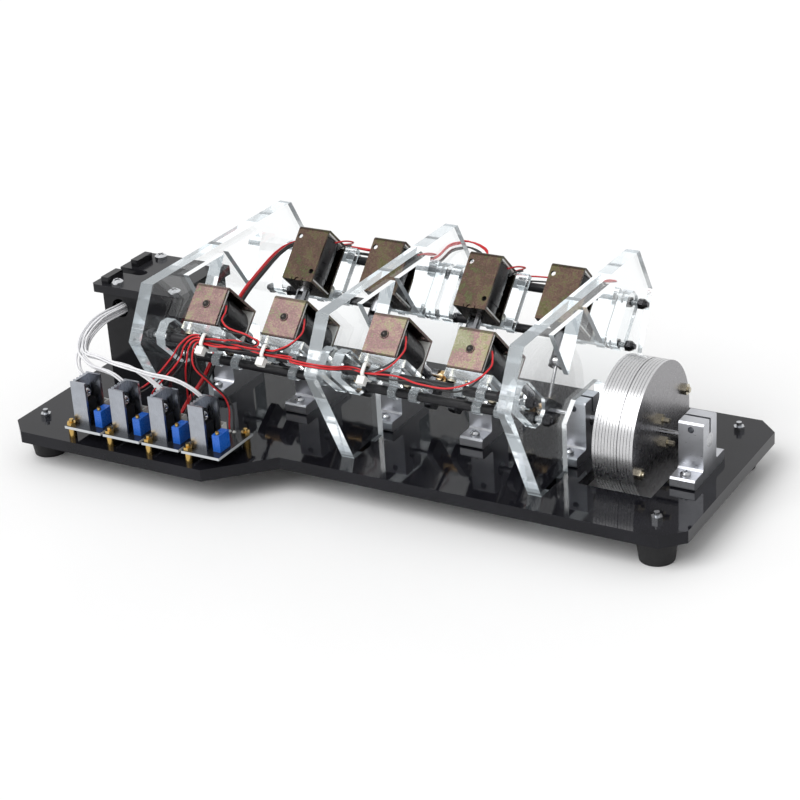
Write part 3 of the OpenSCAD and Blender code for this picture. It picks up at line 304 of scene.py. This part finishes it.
def printed_board(name):
    """A black printed board. Its mask is dark, and its sawn edge shows the pale glass fibre."""
    made = finish(name, (0.010, 0.011, 0.013), 0.22, drift=0.3, drift_scale=400, bump=0.2)
    tree, shader, dark = opened(made)
    facing = add(tree, "SeparateXYZ", {0: add(tree, "NewGeometry").outputs["Normal"]})
    level_face = add(tree, "Math", {0: facing.outputs["Z"]}, operation="ABSOLUTE")
    edge = add(tree, "MapRange", {"Value": level_face.outputs[0], "From Min": 0.8,
                                  "From Max": 0.3}).outputs[0]
    tree.links.new(mix_colour(tree, edge, dark, (0.50, 0.52, 0.54, 1)),
                   shader.inputs["Base Color"])
    return made


paint(printed_board("black board"), "driver_boards")
paint(finish("threaded black", (0.05, 0.05, 0.055), 0.3, 1.0), "tie_rods")

# %% [markdown]
# The solenoid frames are folded steel with yellow passivation. The film is so thin
# that it shows olive, straw, rose and grey-brown patches, as oil on water does. They
# could be painted on one by one, but noise through a ramp of the film's tints gives
# every frame its own patches, and speckles of finer noise break up their edges.

# %% Yellow passivated frames
FILM = (  # where along the noise, and the film's tint there
    (0.24, (0.62, 0.54, 0.26)), (0.38, (0.94, 0.86, 0.52)), (0.47, (1.0, 0.66, 0.56)),
    (0.55, (0.78, 0.45, 0.46)), (0.65, (0.74, 0.76, 0.42)), (0.78, (1.0, 0.90, 0.66)),
)
SPECKLE_SCALE, SPECKLE = 1100.0, 0.13


def build_bloom(tree, given):
    """Wide patches of tint with fine speckles, multiplied by a darker colour: the frames' own
    tone, and on the rear bank painted shade as well.
    """
    wide = add(tree, "TexNoise", {"Vector": scaled_position(tree),
                                  "Scale": given["Scale"], "Detail": 5.0, "Roughness": 0.6,
                                  "Distortion": 0.4})
    fine = add(tree, "TexNoise", {"Vector": scaled_position(tree),
                                  "Scale": SPECKLE_SCALE, "Detail": 3.0})
    both = add(tree, "MapRange", {"Value": fine.outputs[0], "From Min": 0.25, "From Max": 0.75,
                                  "To Min": -SPECKLE, "To Max": SPECKLE})
    total = add(tree, "Math", {0: wide.outputs[0], 1: both.outputs[0]}, operation="ADD")
    ramp = add(tree, "ValToRGB", {"Fac": total.outputs[0]})
    while len(ramp.color_ramp.elements) < len(FILM):
        ramp.color_ramp.elements.new(0.5)
    for element, (at, colour) in zip(ramp.color_ramp.elements, FILM):
        element.position, element.color = at, (*colour, 1)
    shade = mix_colour(tree, 1.0, ramp.outputs[0], given["Depth"], how="MULTIPLY")
    return [shade, fine.outputs[0]]


bloom = effect("Bloom", [("Scale", FLOAT, 60.0), ("Depth", COLOUR, (0.3, 0.3, 0.3, 1))],
               [("Colour", COLOUR), ("Height", FLOAT)], build_bloom)


def passivated(name, scale, depth):
    """Folded steel under a yellow film, darkened by a colour. The darker colour of the rear
    frames is painted shade.
    """
    made, tree, shader = new_material(name)
    film = place(tree, bloom, Scale=scale, Depth=depth)
    tree.links.new(film["Colour"], shader.inputs["Base Color"])
    marks = place(tree, grain, Scale=1200.0, Smooth=0.2, Rough=0.42)
    tree.links.new(marks["Roughness"], shader.inputs["Roughness"])
    relief(tree, shader, 0.2, 0.00003, film["Height"])
    shader.inputs["Metallic"].default_value = 1.0
    return made


paint(passivated("yellow passivation", 55.0, (0.175, 0.18, 0.19, 1)), "solenoid_frames_front")
# The rear frames are the same steel as the front ones, and their far darker colour is painted
# shade.
paint(passivated("shaded passivation", 70.0, (0.062, 0.064, 0.056, 1)), "solenoid_frames_rear")

# %% [markdown]
# Clear acrylic is polished on its faces and laser-cut at its edges, which look like
# bright frosted lines, because the sheet gathers light and lets it out there. The face
# of a plate points along the shaft, so the mask for an edge comes from the surface
# normal: where it doesn't point along X, it is a cut edge, frosted and with a faint
# painted glow, an emission that stands in for the light the sheet lets out there.

# %% Clear acrylic
def build_cut_edge(tree, given):
    """A mask that is 0 where the surface points along X and rises to Strength elsewhere."""
    facing = add(tree, "SeparateXYZ", {0: add(tree, "NewGeometry").outputs["Normal"]})
    along_x = add(tree, "Math", {0: facing.outputs["X"]}, operation="ABSOLUTE")
    mask = add(tree, "MapRange", {"Value": along_x.outputs[0], "From Min": 0.9, "From Max": 0.4,
                                  "To Min": 0.0, "To Max": given["Strength"]})
    return [mask.outputs[0]]


cut_edge = effect("Cut edge", [("Strength", FLOAT, 1.0)], [("Mask", FLOAT)], build_cut_edge)
# The strength of the painted glow: the cut edges emit light, though they are no lamp.
PAINTED_EDGE_GLOW = 0.3
ACRYLIC_IOR = 1.49


def clear(name, edge):
    """Clear acrylic with frosted cut edges, which carry a painted glow."""
    made, tree, shader = new_material(name)
    mask = place(tree, cut_edge, Strength=edge)["Mask"]
    tree.links.new(mix_colour(tree, mask, (0.97, 0.985, 0.99, 1), (0.90, 0.95, 0.97, 1)),
                   shader.inputs["Base Color"])
    marks = place(tree, grain, Stretch=(0.05, 1, 1), Scale=1500.0, Smooth=0.0, Rough=0.35)
    rough = add(tree, "Math", {0: mask, 1: marks["Roughness"]}, operation="MULTIPLY")
    tree.links.new(rough.outputs[0], shader.inputs["Roughness"])
    # Painted glow: an emission on the cut edges stands in for the light the sheet lets out.
    painted_glow = mix_colour(tree, mask, (0, 0, 0, 1), (0.80, 0.88, 0.93, 1))
    tree.links.new(painted_glow, shader.inputs["Emission Color"])
    shader.inputs["Emission Strength"].default_value = PAINTED_EDGE_GLOW
    shader.inputs["Transmission Weight"].default_value = 1.0
    shader.inputs["IOR"].default_value = ACRYLIC_IOR
    return made


PLATES = ("frame_plate_left", "frame_plate_middle", "frame_plate_right")
paint(clear("clear plate", 0.6), *PLATES, "bank_brackets")
paint(clear("clear block", 0.4), "solenoid_blocks")

# %% [markdown]
# No cut edge is perfectly sharp, and the thin bright line along it is what the eye
# takes for an edge. A Bevel modifier rounds the edges by a fraction of a millimetre
# and leaves the CAD mesh itself as it is.

# %% Softened edges
SHARP = math.radians(35)


def soften(width, *names):
    """Rounds the edges sharper than SHARP by a width in metres."""
    for name in names:
        bevel = nodes[name].modifiers.new("soft edge", "BEVEL")
        bevel.width, bevel.segments = width, 2
        bevel.limit_method, bevel.angle_limit = "ANGLE", SHARP
    print(round(width / MM, 2), "mm on", ", ".join(names))


soften(0.0004, *PLATES, "base_plate")
soften(0.00035, "solenoid_frames_front", "solenoid_frames_rear")
soften(0.0003, "control_box", "control_box_lid", "shaft_supports", "bank_brackets",
       "heat_sinks")

# %% [markdown]
# The flywheel is a stack of steel discs. Its faces were turned, which leaves rings
# about the shaft, and its rim was left as cut. The rings follow the distance from
# the shaft's axis, so they stay true when the wheel turns.

# %% Turned flywheel
AXIS_Y, AXIS_Z = 0.0075, 0.0428


def build_rings(tree, given):
    """A height that changes with the distance from the shaft's axis, and from disc to disc."""
    here = add(tree, "SeparateXYZ", {0: add(tree, "TexCoord").outputs["Object"]})
    off_y, off_z = [add(tree, "Math", {0: here.outputs[axis], 1: middle},
                        operation="SUBTRACT").outputs[0]
                    for axis, middle in (("Y", AXIS_Y), ("Z", AXIS_Z))]
    flat = add(tree, "CombineXYZ", {0: 0.0, 1: off_y, 2: off_z})
    reach = add(tree, "VectorMath", {0: flat.outputs[0]}, operation="LENGTH").outputs["Value"]
    line = add(tree, "CombineXYZ", {0: reach, 1: here.outputs["X"], 2: 0.0})
    noise = add(tree, "TexNoise", {"Vector": line.outputs[0], "Scale": given["Scale"],
                                   "Detail": 5.0})
    return [spread(tree, noise.outputs[0], 0.0, 1.0)]


rings = effect("Rings", [("Scale", FLOAT, 2500.0)], [("Height", FLOAT)], build_rings)


def turned(name):
    """Turned steel, darker on its faces than on its rim."""
    made = finish(name, (0.60, 0.60, 0.61), 0.27, 1.0, drift=0.05, drift_scale=40,
                  grain_scale=300, vary=0.15, bump=0.05)
    tree, shader, bright = opened(made)
    marks = place(tree, rings, Scale=1800.0)["Height"]
    relief(tree, shader, 0.3, 0.00003, marks)
    rim = place(tree, cut_edge, Strength=1.0)["Mask"]
    tree.links.new(mix_colour(tree, rim, (0.27, 0.265, 0.275, 1), bright),
                   shader.inputs["Base Color"])
    return made


paint(turned("turned steel"), "flywheel")

# %% [markdown]
# The connecting rods are steel with brass big ends. One mesh holds both, so a mask
# tells how near a point is to the rod's crankpin. The mask is in the rod's own
# coordinates, so the brass stays at the big end when the rod moves.

# %% Rods with brass big ends
BRASS_IN, BRASS_OUT = 0.0072, 0.0078


def build_near(tree, given):
    """A mask that is 1 near a line along X and falls to 0 between the two radii."""
    here = add(tree, "TexCoord").outputs["Object"]
    flat = add(tree, "VectorMath", {0: here, 1: (0, 1, 1)}, operation="MULTIPLY").outputs[0]
    gap = add(tree, "VectorMath", {0: flat, 1: given["Centre"]},
              operation="DISTANCE").outputs["Value"]
    return [add(tree, "MapRange", {"Value": gap, "From Min": BRASS_IN, "From Max": BRASS_OUT,
                                   "To Min": 1.0, "To Max": 0.0}).outputs[0]]


near = effect("Near", [("Centre", VECTOR, (0, 0, 0))], [("Mask", FLOAT)], build_near)
PIN_AT = ((0.001766, 0.046815), (0.003485, 0.037066), (0.011515, 0.048534),
          (0.013234, 0.038785)) * 2
for i, (y, z) in enumerate(PIN_AT, 1):
    rod = finish("rod %d" % i, (0.55, 0.55, 0.56), 0.22, 1.0, drift=0.08, grain_scale=2200,
                 bump=0.2)
    tree, shader, steel = opened(rod)
    brass = place(tree, near, Centre=(0, y, z))["Mask"]
    tree.links.new(mix_colour(tree, brass, steel, (0.60, 0.40, 0.19, 1)),
                   shader.inputs["Base Color"])
    paint(rod, "con_rod_%d" % i)

# %% [markdown]
# Each coil is wound on a bobbin and covered with black tape. The tape is slightly
# glossy, and its wrinkles run round the coil. They are far finer than a mesh could
# well carry, so a stretched noise in the bump makes them.

# %% Taped coils
paint(finish("black tape", (0.013, 0.013, 0.015), 0.34, drift=0.3, drift_scale=250,
             stretch=(0.3, 1, 1), grain_scale=500, vary=0.35, bump=0.5, depth=0.0002), "coils")

# %% [markdown]
# Heads of rivets and screws are round, so each is a profile turned about an axis, as on
# a lathe. A cylinder with a bevel would be quicker but can't have a dome and a step, and
# one short function makes them all. A second one sets a head square to its surface.

# %% Turned pieces
def turned_mesh(name, profile, steps=32):
    """A mesh from (radius, height) points in millimetres, turned about Z.

    The first and the last radius are 0, so the mesh is closed."""
    points, faces, rows = [], [], []
    for radius, height in profile:
        count = 1 if radius == 0 else steps
        rows.append([len(points) + i for i in range(count)])
        for i in range(count):
            turn = 2 * math.pi * i / steps
            points.append((radius * MM * math.cos(turn), radius * MM * math.sin(turn),
                           height * MM))
    for low, high in zip(rows, rows[1:]):
        for i in range(steps):
            corners = [low[i % len(low)], low[(i + 1) % len(low)],
                       high[(i + 1) % len(high)], high[i % len(high)]]
            faces.append(list(dict.fromkeys(corners)))
    mesh = bpy.data.meshes.new(name)
    mesh.from_pydata(points, [], faces)
    for face in mesh.polygons:
        face.use_smooth = True
    print(name, "has", len(faces), "faces")
    return mesh


def set_on(name, mesh, spot, toward, body="frame"):
    """Sets a turned piece on a spot in metres, with its axis along a direction."""
    made = bpy.data.objects.new(name, mesh)
    made.rotation_euler = Vector((0, 0, 1)).rotation_difference(Vector(toward)).to_euler()
    made.location = Vector(spot)
    bpy.context.scene.collection.objects.link(made)
    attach(made, body)
    return made


# %% [markdown]
# The pieces on the two sloping banks are placed by their distances along a bank and
# off its middle plane, as a maker would measure them. The numbers are millimetres from
# the crank's axis and the top of the base, and one function turns them into metres.

# %% Places on the banks
BANK = math.radians(45)
BASE_TOP, CRANK_Y, AXIS_UP = 22.0, 7.5, 20.8
FRONT_X = (-83.85, -32.85, 30.15, 81.15)
REAR_X = (-78.15, -27.15, 35.85, 86.85)
HALF_FRAME = 10.0  # half a solenoid frame's width, along the shaft


def bank_point(bank, x, out, along):
    """A point on bank 0, the front, or 1, the rear: how far off its middle plane and along it."""
    side = -1 if bank == 0 else 1
    y = side * (along * math.cos(BANK) + out * math.sin(BANK))
    return (x, y, AXIS_UP + along * math.sin(BANK) - out * math.cos(BANK))


def in_metres(x, y, z):
    """A place on the part in metres, from millimetres off the crank's axis and the base."""
    return Vector((x, y + CRANK_Y, z + BASE_TOP)) * MM


def shifted(point, by, times=1):
    """A point moved by an offset, or by a share of it."""
    return tuple(p + times * b for p, b in zip(point, by))


print("bank slope:", round(math.degrees(BANK)), "degrees, coils at x", *FRONT_X, *REAR_X)

# %% [markdown]
# The pole of each solenoid is riveted into its frame, and the dark, domed head of the
# rivet is the one mark on the outer face. The CAD model has a plain disc there, so a
# small turned dome is set over each one, square to the slope of its bank.

# %% Rivet domes
DOME = ((0, -0.3), (1.9, -0.3), (2.0, 0.0), (1.75, 0.25), (1.3, 0.3),
        (1.25, 0.7), (0.9, 1.05), (0.45, 1.2), (0, 1.25))
dome = turned_mesh("rivet_dome", DOME)
dome.materials.append(finish("dark rivet", (0.055, 0.05, 0.048), 0.25, 1.0, grain_scale=3000))
RIVET_ALONG = 81.6
for bank, row_of_x, outward in ((0, FRONT_X, (0, -1, 1)), (1, REAR_X, (0, 1, 1))):
    for k, x in enumerate(row_of_x, 1):
        spot = in_metres(*bank_point(bank, x, 0, RIVET_ALONG))
        set_on("rivet_%d" % (4 * bank + k), dome, spot, outward)

# %% [markdown]
# A plated screw holds each transistor's tab against its heat sink. Its head is a turned
# cap, set over the plain head of the CAD model with a hair's breadth to spare.

# %% Screws of the heat sinks
BOARD_X, BOARD_Y = (-160.4, -133.5, -106.6, -79.7), -100.0
HEAD_IN_BOARD = (7.35, 13.15, 24.5)
CAP = ((0, 0), (3.0, 0), (3.0, 1.25), (2.75, 1.75), (2.2, 2.15), (1.2, 2.4), (1.0, 1.7),
       (0, 1.6))
cap = turned_mesh("sink_screw_cap", CAP, steps=24)
cap.materials.append(finish("plated screw", (0.72, 0.72, 0.72), 0.16, 1.0, drift=0.06,
                            grain_scale=2600, bump=0.2))
for i, x in enumerate(BOARD_X, 1):
    spot = in_metres(*shifted((x, BOARD_Y, 0), HEAD_IN_BOARD))
    set_on("sink_screw_%d" % i, cap, spot, (1, 0, 0))

# %% [markdown]
# The wires in the CAD model are coarse tubes, and here each is drawn one by one. The
# front leads leave their coils, run side by side along the outer tie rod through the
# cable ties, and drop to the boards. Between the ties nothing holds them, so they wander:
# a sine of the position bends each wire in its own way and gives the same bends each run.

# %% Front leads
TIE_OFF, LANE_AT, STEP, LANE_MID = 21.4, 81.3, 1.3, 1.5
PAST_PLATE = (0, -12.5, 5)
ROW_LEAD = 1.6
SLACK, FREE_OVER = 1.3, 12.0
# A lead's first points: x, off and along, each with what row 1 adds to it.
LEAD_STEPS = ((0.45, 0, 2, -4, 74, 3), (3, 1, 6, -3, 79.4, 1.6), (3.5, 2, 11, -2, 81.9, 1.3))
FIRST_LOOP = ((-46, 0, 15.5, 81.9), (-43, 2, 18, 82))
LANE_FIRST = (-50, -31, 31, 82)
# Stops to the right of the middle plate, two points round it, and the first one past it.
RIGHT_STOPS, ROUND_PLATE, BACK_IN = (62, 46, 26.6, 19), ((11, 1), (-8, -1)), -18
LEFT_STOPS, APART = (-36.4, -46, -56, -66, -76), 5
LANE_END = (-83.5, -82, -80.5, -79)
LANE_SIDE, SIDE_SHARE = 24.2, 1.1
TIES = (-76, -36.4, 26.6)
DROPS = (  # the way of each front lead from its lane down to its board
    ((-99, -74, 50), (-110, -78.5, 37), (-134, -72, 20), (-148.9, -69, 9.5)),
    ((-93, -75, 50), (-106, -77.5, 35), (-117, -73, 23), (-122, -69, 9.5)),
    ((-87.5, -76, 50), (-93, -71, 38), (-97, -66, 24), (-95.1, -69, 9.5)),
    ((-82.5, -77, 50), (-77, -72, 38), (-70, -66, 24), (-68.2, -69, 9.5)),
)
DROP_SHIFTS = ((1.8, 1.5, -1.5), (1.8, 1.5, -1.5), (1.8, 1.5, -1.5), (3, 0, 0))


def lane(x, k, row):
    """A point of the tight lane of lead k along the front tie rod."""
    return bank_point(0, x, TIE_OFF + (k - LANE_MID) * STEP, LANE_AT + row * STEP)


def lead(bank, x, row):
    """The first points of a lead, where it leaves its coil."""
    return [bank_point(bank, x + s[0] + s[1] * row, s[2] + s[3] * row,
                       s[4] + s[5] * row) for s in LEAD_STEPS]


def loose_lane(x, k, row):
    """A lane that wanders between the ties, where nothing holds the wire."""
    free = SLACK * min(1, min(abs(x - tie) for tie in TIES) / FREE_OVER)
    turn = 0.19 * x + 1.9 * k + 2.6 * row
    layer = row if k % 2 else 1 - row
    return bank_point(0, x, TIE_OFF + (k - LANE_MID) * STEP + free * math.sin(turn),
                      LANE_AT + layer * STEP + 0.8 * free * (1 + math.cos(1.3 * turn)))


def front_route(k, row):
    """A front lead, from its coil to its board. Row 1 is red and row 0 is black."""
    way = lead(0, FRONT_X[k] + HALF_FRAME, row)
    if k == 0:
        way += [bank_point(0, s[0] + s[1] * row, s[2], s[3] + STEP * row) for s in FIRST_LOOP]
    later = row * ROW_LEAD
    first = LANE_FIRST[k] + later
    stops = [first] + [x for x in RIGHT_STOPS if k > 1 and x < first - APART]
    way += [loose_lane(x, k, row) for x in stops]
    if k > 1:
        way += [shifted(lane(x + side * later, k, row), PAST_PLATE) for x, side in ROUND_PLATE]
        way += [lane(BACK_IN - later, k, row)]
    way += [loose_lane(x, k, row) for x in LEFT_STOPS if x < first - APART]
    over = SIDE_SHARE * (LANE_SIDE - TIE_OFF - (k - LANE_MID) * STEP)
    way += [lane(LANE_END[k], k, row)]
    way += [bank_point(0, LANE_END[k] - over, LANE_SIDE, LANE_AT + row * STEP)]
    return way + [shifted(p, by, 1 - row) for p, by in zip(DROPS[k], DROP_SHIFTS)]


print("points of the front leads:", [len(front_route(k, 1)) for k in range(4)])

# %% [markdown]
# The rear leads hang over the rear rod, go round the middle plate, and come down inside
# the left plate to the third board. Leads of one colour lie round a common middle line,
# each at its own angle about it, which gives a twisted bundle without any overlap.

# %% Rear leads
BUNDLE = 0.72
ROD_TWIST, LEFT_TWIST, ROW_APART = 0.09, 0.8, 2.8
REAR_SPOTS = ((21.4, 82), (20.9, 84.7))
# Stops along the rear rod: x, the share of REAR_PAST, and how far row 1 keeps aside.
REAR_WAY = ((98, 0, 0), (60, 0, 0), (20, 0, 2.2), (12, 1, 2.2),
            (-9, 1, -2.2), (-17, 0, -2.2), (-55, 0, 0), (-90, 0, 0))
REAR_PAST = (0, 12, 6.4)
REAR_LEFT = ((-97, 62, 71), (-98, 10, 66), (-98, -22, 50), (-98, -48, 27), (-102, -63, 15),
             (-103, -69, 9.5))


def rear_route(k, row):
    """A rear lead. It joins the bundle of its colour where it leaves its solenoid."""
    quarter = 2 * math.pi * k / 4
    x0 = REAR_X[k] + HALF_FRAME
    out, along = REAR_SPOTS[row]
    way = lead(1, x0, row)
    for x, past, wide in REAR_WAY:
        x += row * wide
        if x < x0 - 4:
            turn = quarter + ROD_TWIST * x
            off = (0, BUNDLE * math.cos(turn), BUNDLE * math.sin(turn))
            way.append(shifted(shifted(bank_point(1, x, out, along), REAR_PAST, past), off))
    left = [shifted(p, (ROW_APART, 0, 0), 1 - row) for p in REAR_LEFT]
    for n, point in enumerate(left[:-1]):
        turn = quarter + LEFT_TWIST * n
        way.append(shifted(point, (BUNDLE * math.cos(turn), 0, BUNDLE * math.sin(turn))))
    return way + [left[-1]]


print("points of the rear leads:", [len(rear_route(k, 1)) for k in range(4)])

# %% [markdown]
# Three white wires go from the sensors to each board, twelve in all. They leave the
# control box as one bundle, droop under their own weight and part towards the boards,
# where three end side by side, at the pitch of a header's pins.

# %% White leads
WHITE_START = ((-151, -8, 50), (-168, -12, 49), (-171, -27, 49), (-177, -42, 45),
               (-178, -54, 37))
WHITE_ENDS = (
    ((-173, -67, 29), (-158, -75, 24), (-153, -74.5, 17), (-153, -74.5, 12)),
    ((-162, -71, 35), (-134, -78, 32), (-126, -74.5, 17), (-126, -74.5, 12)),
    ((-154, -69, 38), (-112, -80.7, 37.9), (-99, -74.5, 17), (-99, -74.5, 12)),
    ((-146, -76, 42), (-112, -82.5, 41.7), (-84, -80, 37), (-72, -74.5, 17), (-72, -74.5, 12)),
)
WHITE_SPOTS = ((-1.7, -1.7), (-1.7, 1.7), (1.7, -1.7), (1.7, 1.7))
PIN_PITCH = 1.5
NARROW, WIDE, FLATTER = 0.75, 1.25, 0.6


def white_route(i, j):
    """Wire j of the three that go to board i. They twist a little and spread on their way."""
    x, z = WHITE_SPOTS[i]
    way = []
    for n, point in enumerate(WHITE_START):
        way.append(shifted(point, (0 if n == 0 else x, -x if n < 2 else 0, z)))
    way += WHITE_ENDS[i]
    made = []
    for n, point in enumerate(way[:-2]):
        turn = 2 * math.pi * j / 3 + 0.5 * i + 0.35 * n
        reach = NARROW if n < 3 else WIDE
        aside = FLATTER * reach * math.cos(turn + 1)
        made.append(shifted(point, (reach * math.cos(turn), aside, reach * math.sin(turn))))
    return made + [shifted(p, ((j - 1) * PIN_PITCH, 0, 0)) for p in way[-2:]]


print("points of the white leads:", [len(white_route(i, 0)) for i in range(4)])

# %% [markdown]
# Each colour of wire is one curve object, so that it has one finish. A curve needs only
# the points it passes through and gives a smooth round wire. Tubes of mesh would need
# far more points for the same bends, and each change of a route would rebuild them.

# %% Leads in their colours
LEAD_WIDTH, WHITE_WIDTH = 1.0, 1.15


def wires(name, routes, width, replaced):
    """One curve object with a spline for each route, in place of a loom of the CAD model.

    Each point's own radius sets the thickness and the bevel scales it by 1, because
    Blender adds the points' radius to a curve's bounding box."""
    curve = bpy.data.curves.new(name, "CURVE")
    curve.dimensions, curve.bevel_depth, curve.bevel_resolution = "3D", 1.0, 2
    curve.resolution_u, curve.use_fill_caps = 6, True
    for route in routes:
        spline = curve.splines.new("BEZIER")
        spline.bezier_points.add(len(route) - 1)
        for point, (x, y, z) in zip(spline.bezier_points, route):
            point.co, point.radius = in_metres(x, y, z), width / 2 * MM
            point.handle_left_type = point.handle_right_type = "AUTO"
    made = bpy.data.objects.new(name, curve)
    bpy.context.scene.collection.objects.link(made)
    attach(made, "frame")
    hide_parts(replaced)
    print(name, len(routes), "wires")
    return made


def pairs(row):
    """The routes of one row, front and rear. Row 1 is red and row 0 is black."""
    return [front_route(k, row) for k in range(4)] + [rear_route(k, row) for k in range(4)]


red = wires("red_leads", pairs(1), LEAD_WIDTH, "red_wires")
black = wires("black_leads", pairs(0), LEAD_WIDTH, "black_wires")
white = wires("white_leads", [white_route(i, j) for i in range(4) for j in range(3)],
              WHITE_WIDTH, "white_wires")
for leads, name, colour in ((red, "red insulation", (0.62, 0.012, 0.018)),
                            (black, "black insulation", (0.012, 0.012, 0.013)),
                            (white, "white insulation", (0.84, 0.84, 0.86))):
    leads.data.materials.append(finish(name, colour, 0.35, drift=0.08, bump=0.1))

# %% [markdown]
# A white sheet and a broad soft light show a glossy black part best: it mirrors the
# sheet where it faces it and stays black elsewhere. The sky is white where it is looked
# at, whether straight, through clear plastic or in a mirror of metal, so the background
# is the same everywhere. As a light it is weaker, which keeps pale pieces from clipping.

# %% Floor and light
FAR, UNDER_FEET = 4.0, 0.0002
SKY_AS_LIGHT, SKY_AS_SEEN, SUN_STRENGTH = 0.66, 1.0, 1.7

corners = [(-FAR, -FAR, 0), (FAR, -FAR, 0), (FAR, FAR, 0), (-FAR, FAR, 0)]
floor_mesh = bpy.data.meshes.new("floor")
floor_mesh.from_pydata(corners, [], [(0, 1, 2, 3)])
floor = bpy.data.objects.new("floor", floor_mesh)
floor.location.z = -UNDER_FEET
bpy.context.scene.collection.objects.link(floor)
floor_mesh.materials.append(finish("white sheet", (0.97, 0.97, 0.97), 0.6, drift=0.01,
                                   drift_scale=5, bump=0.0, sheen=0.2))
floor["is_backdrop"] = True

world = bpy.data.worlds.new("studio")
bpy.context.scene.world = world
world.use_nodes = True
sky = world.node_tree
sky.nodes.clear()
rays = add(sky, "LightPath").outputs
looked_at = rays["Is Camera Ray"]
for kind in ("Is Transmission Ray", "Is Glossy Ray"):
    looked_at = add(sky, "Math", {0: looked_at, 1: rays[kind]}, operation="MAXIMUM").outputs[0]
strength = add(sky, "Mix", {"Factor": looked_at, "A": SKY_AS_LIGHT,
                            "B": SKY_AS_SEEN}).outputs[0]
shine = add(sky, "Background", {"Color": (1, 1, 1, 1), "Strength": strength})
sky.links.new(shine.outputs[0], add(sky, "OutputWorld").inputs["Surface"])

sun = bpy.data.lights.new("key", "SUN")
sun.energy, sun.angle = SUN_STRENGTH, math.radians(50)
key = bpy.data.objects.new("key", sun)
key.rotation_euler = (math.radians(38), math.radians(-18), 0)
bpy.context.scene.collection.objects.link(key)
print("sky", SKY_AS_LIGHT, "as a light and", SKY_AS_SEEN, "as seen, sun", SUN_STRENGTH)

# %% [markdown]
# Last, the sizes of the CAD model and of the dressed model are written side by side,
# so that one look tells whether a piece has grown past the real object.

# %% Sizes and the end
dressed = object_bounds()
for label, box in (("cad", cad_box), ("visual", dressed)):
    print(label, [[round(v, 4) for v in corner] for corner in box])
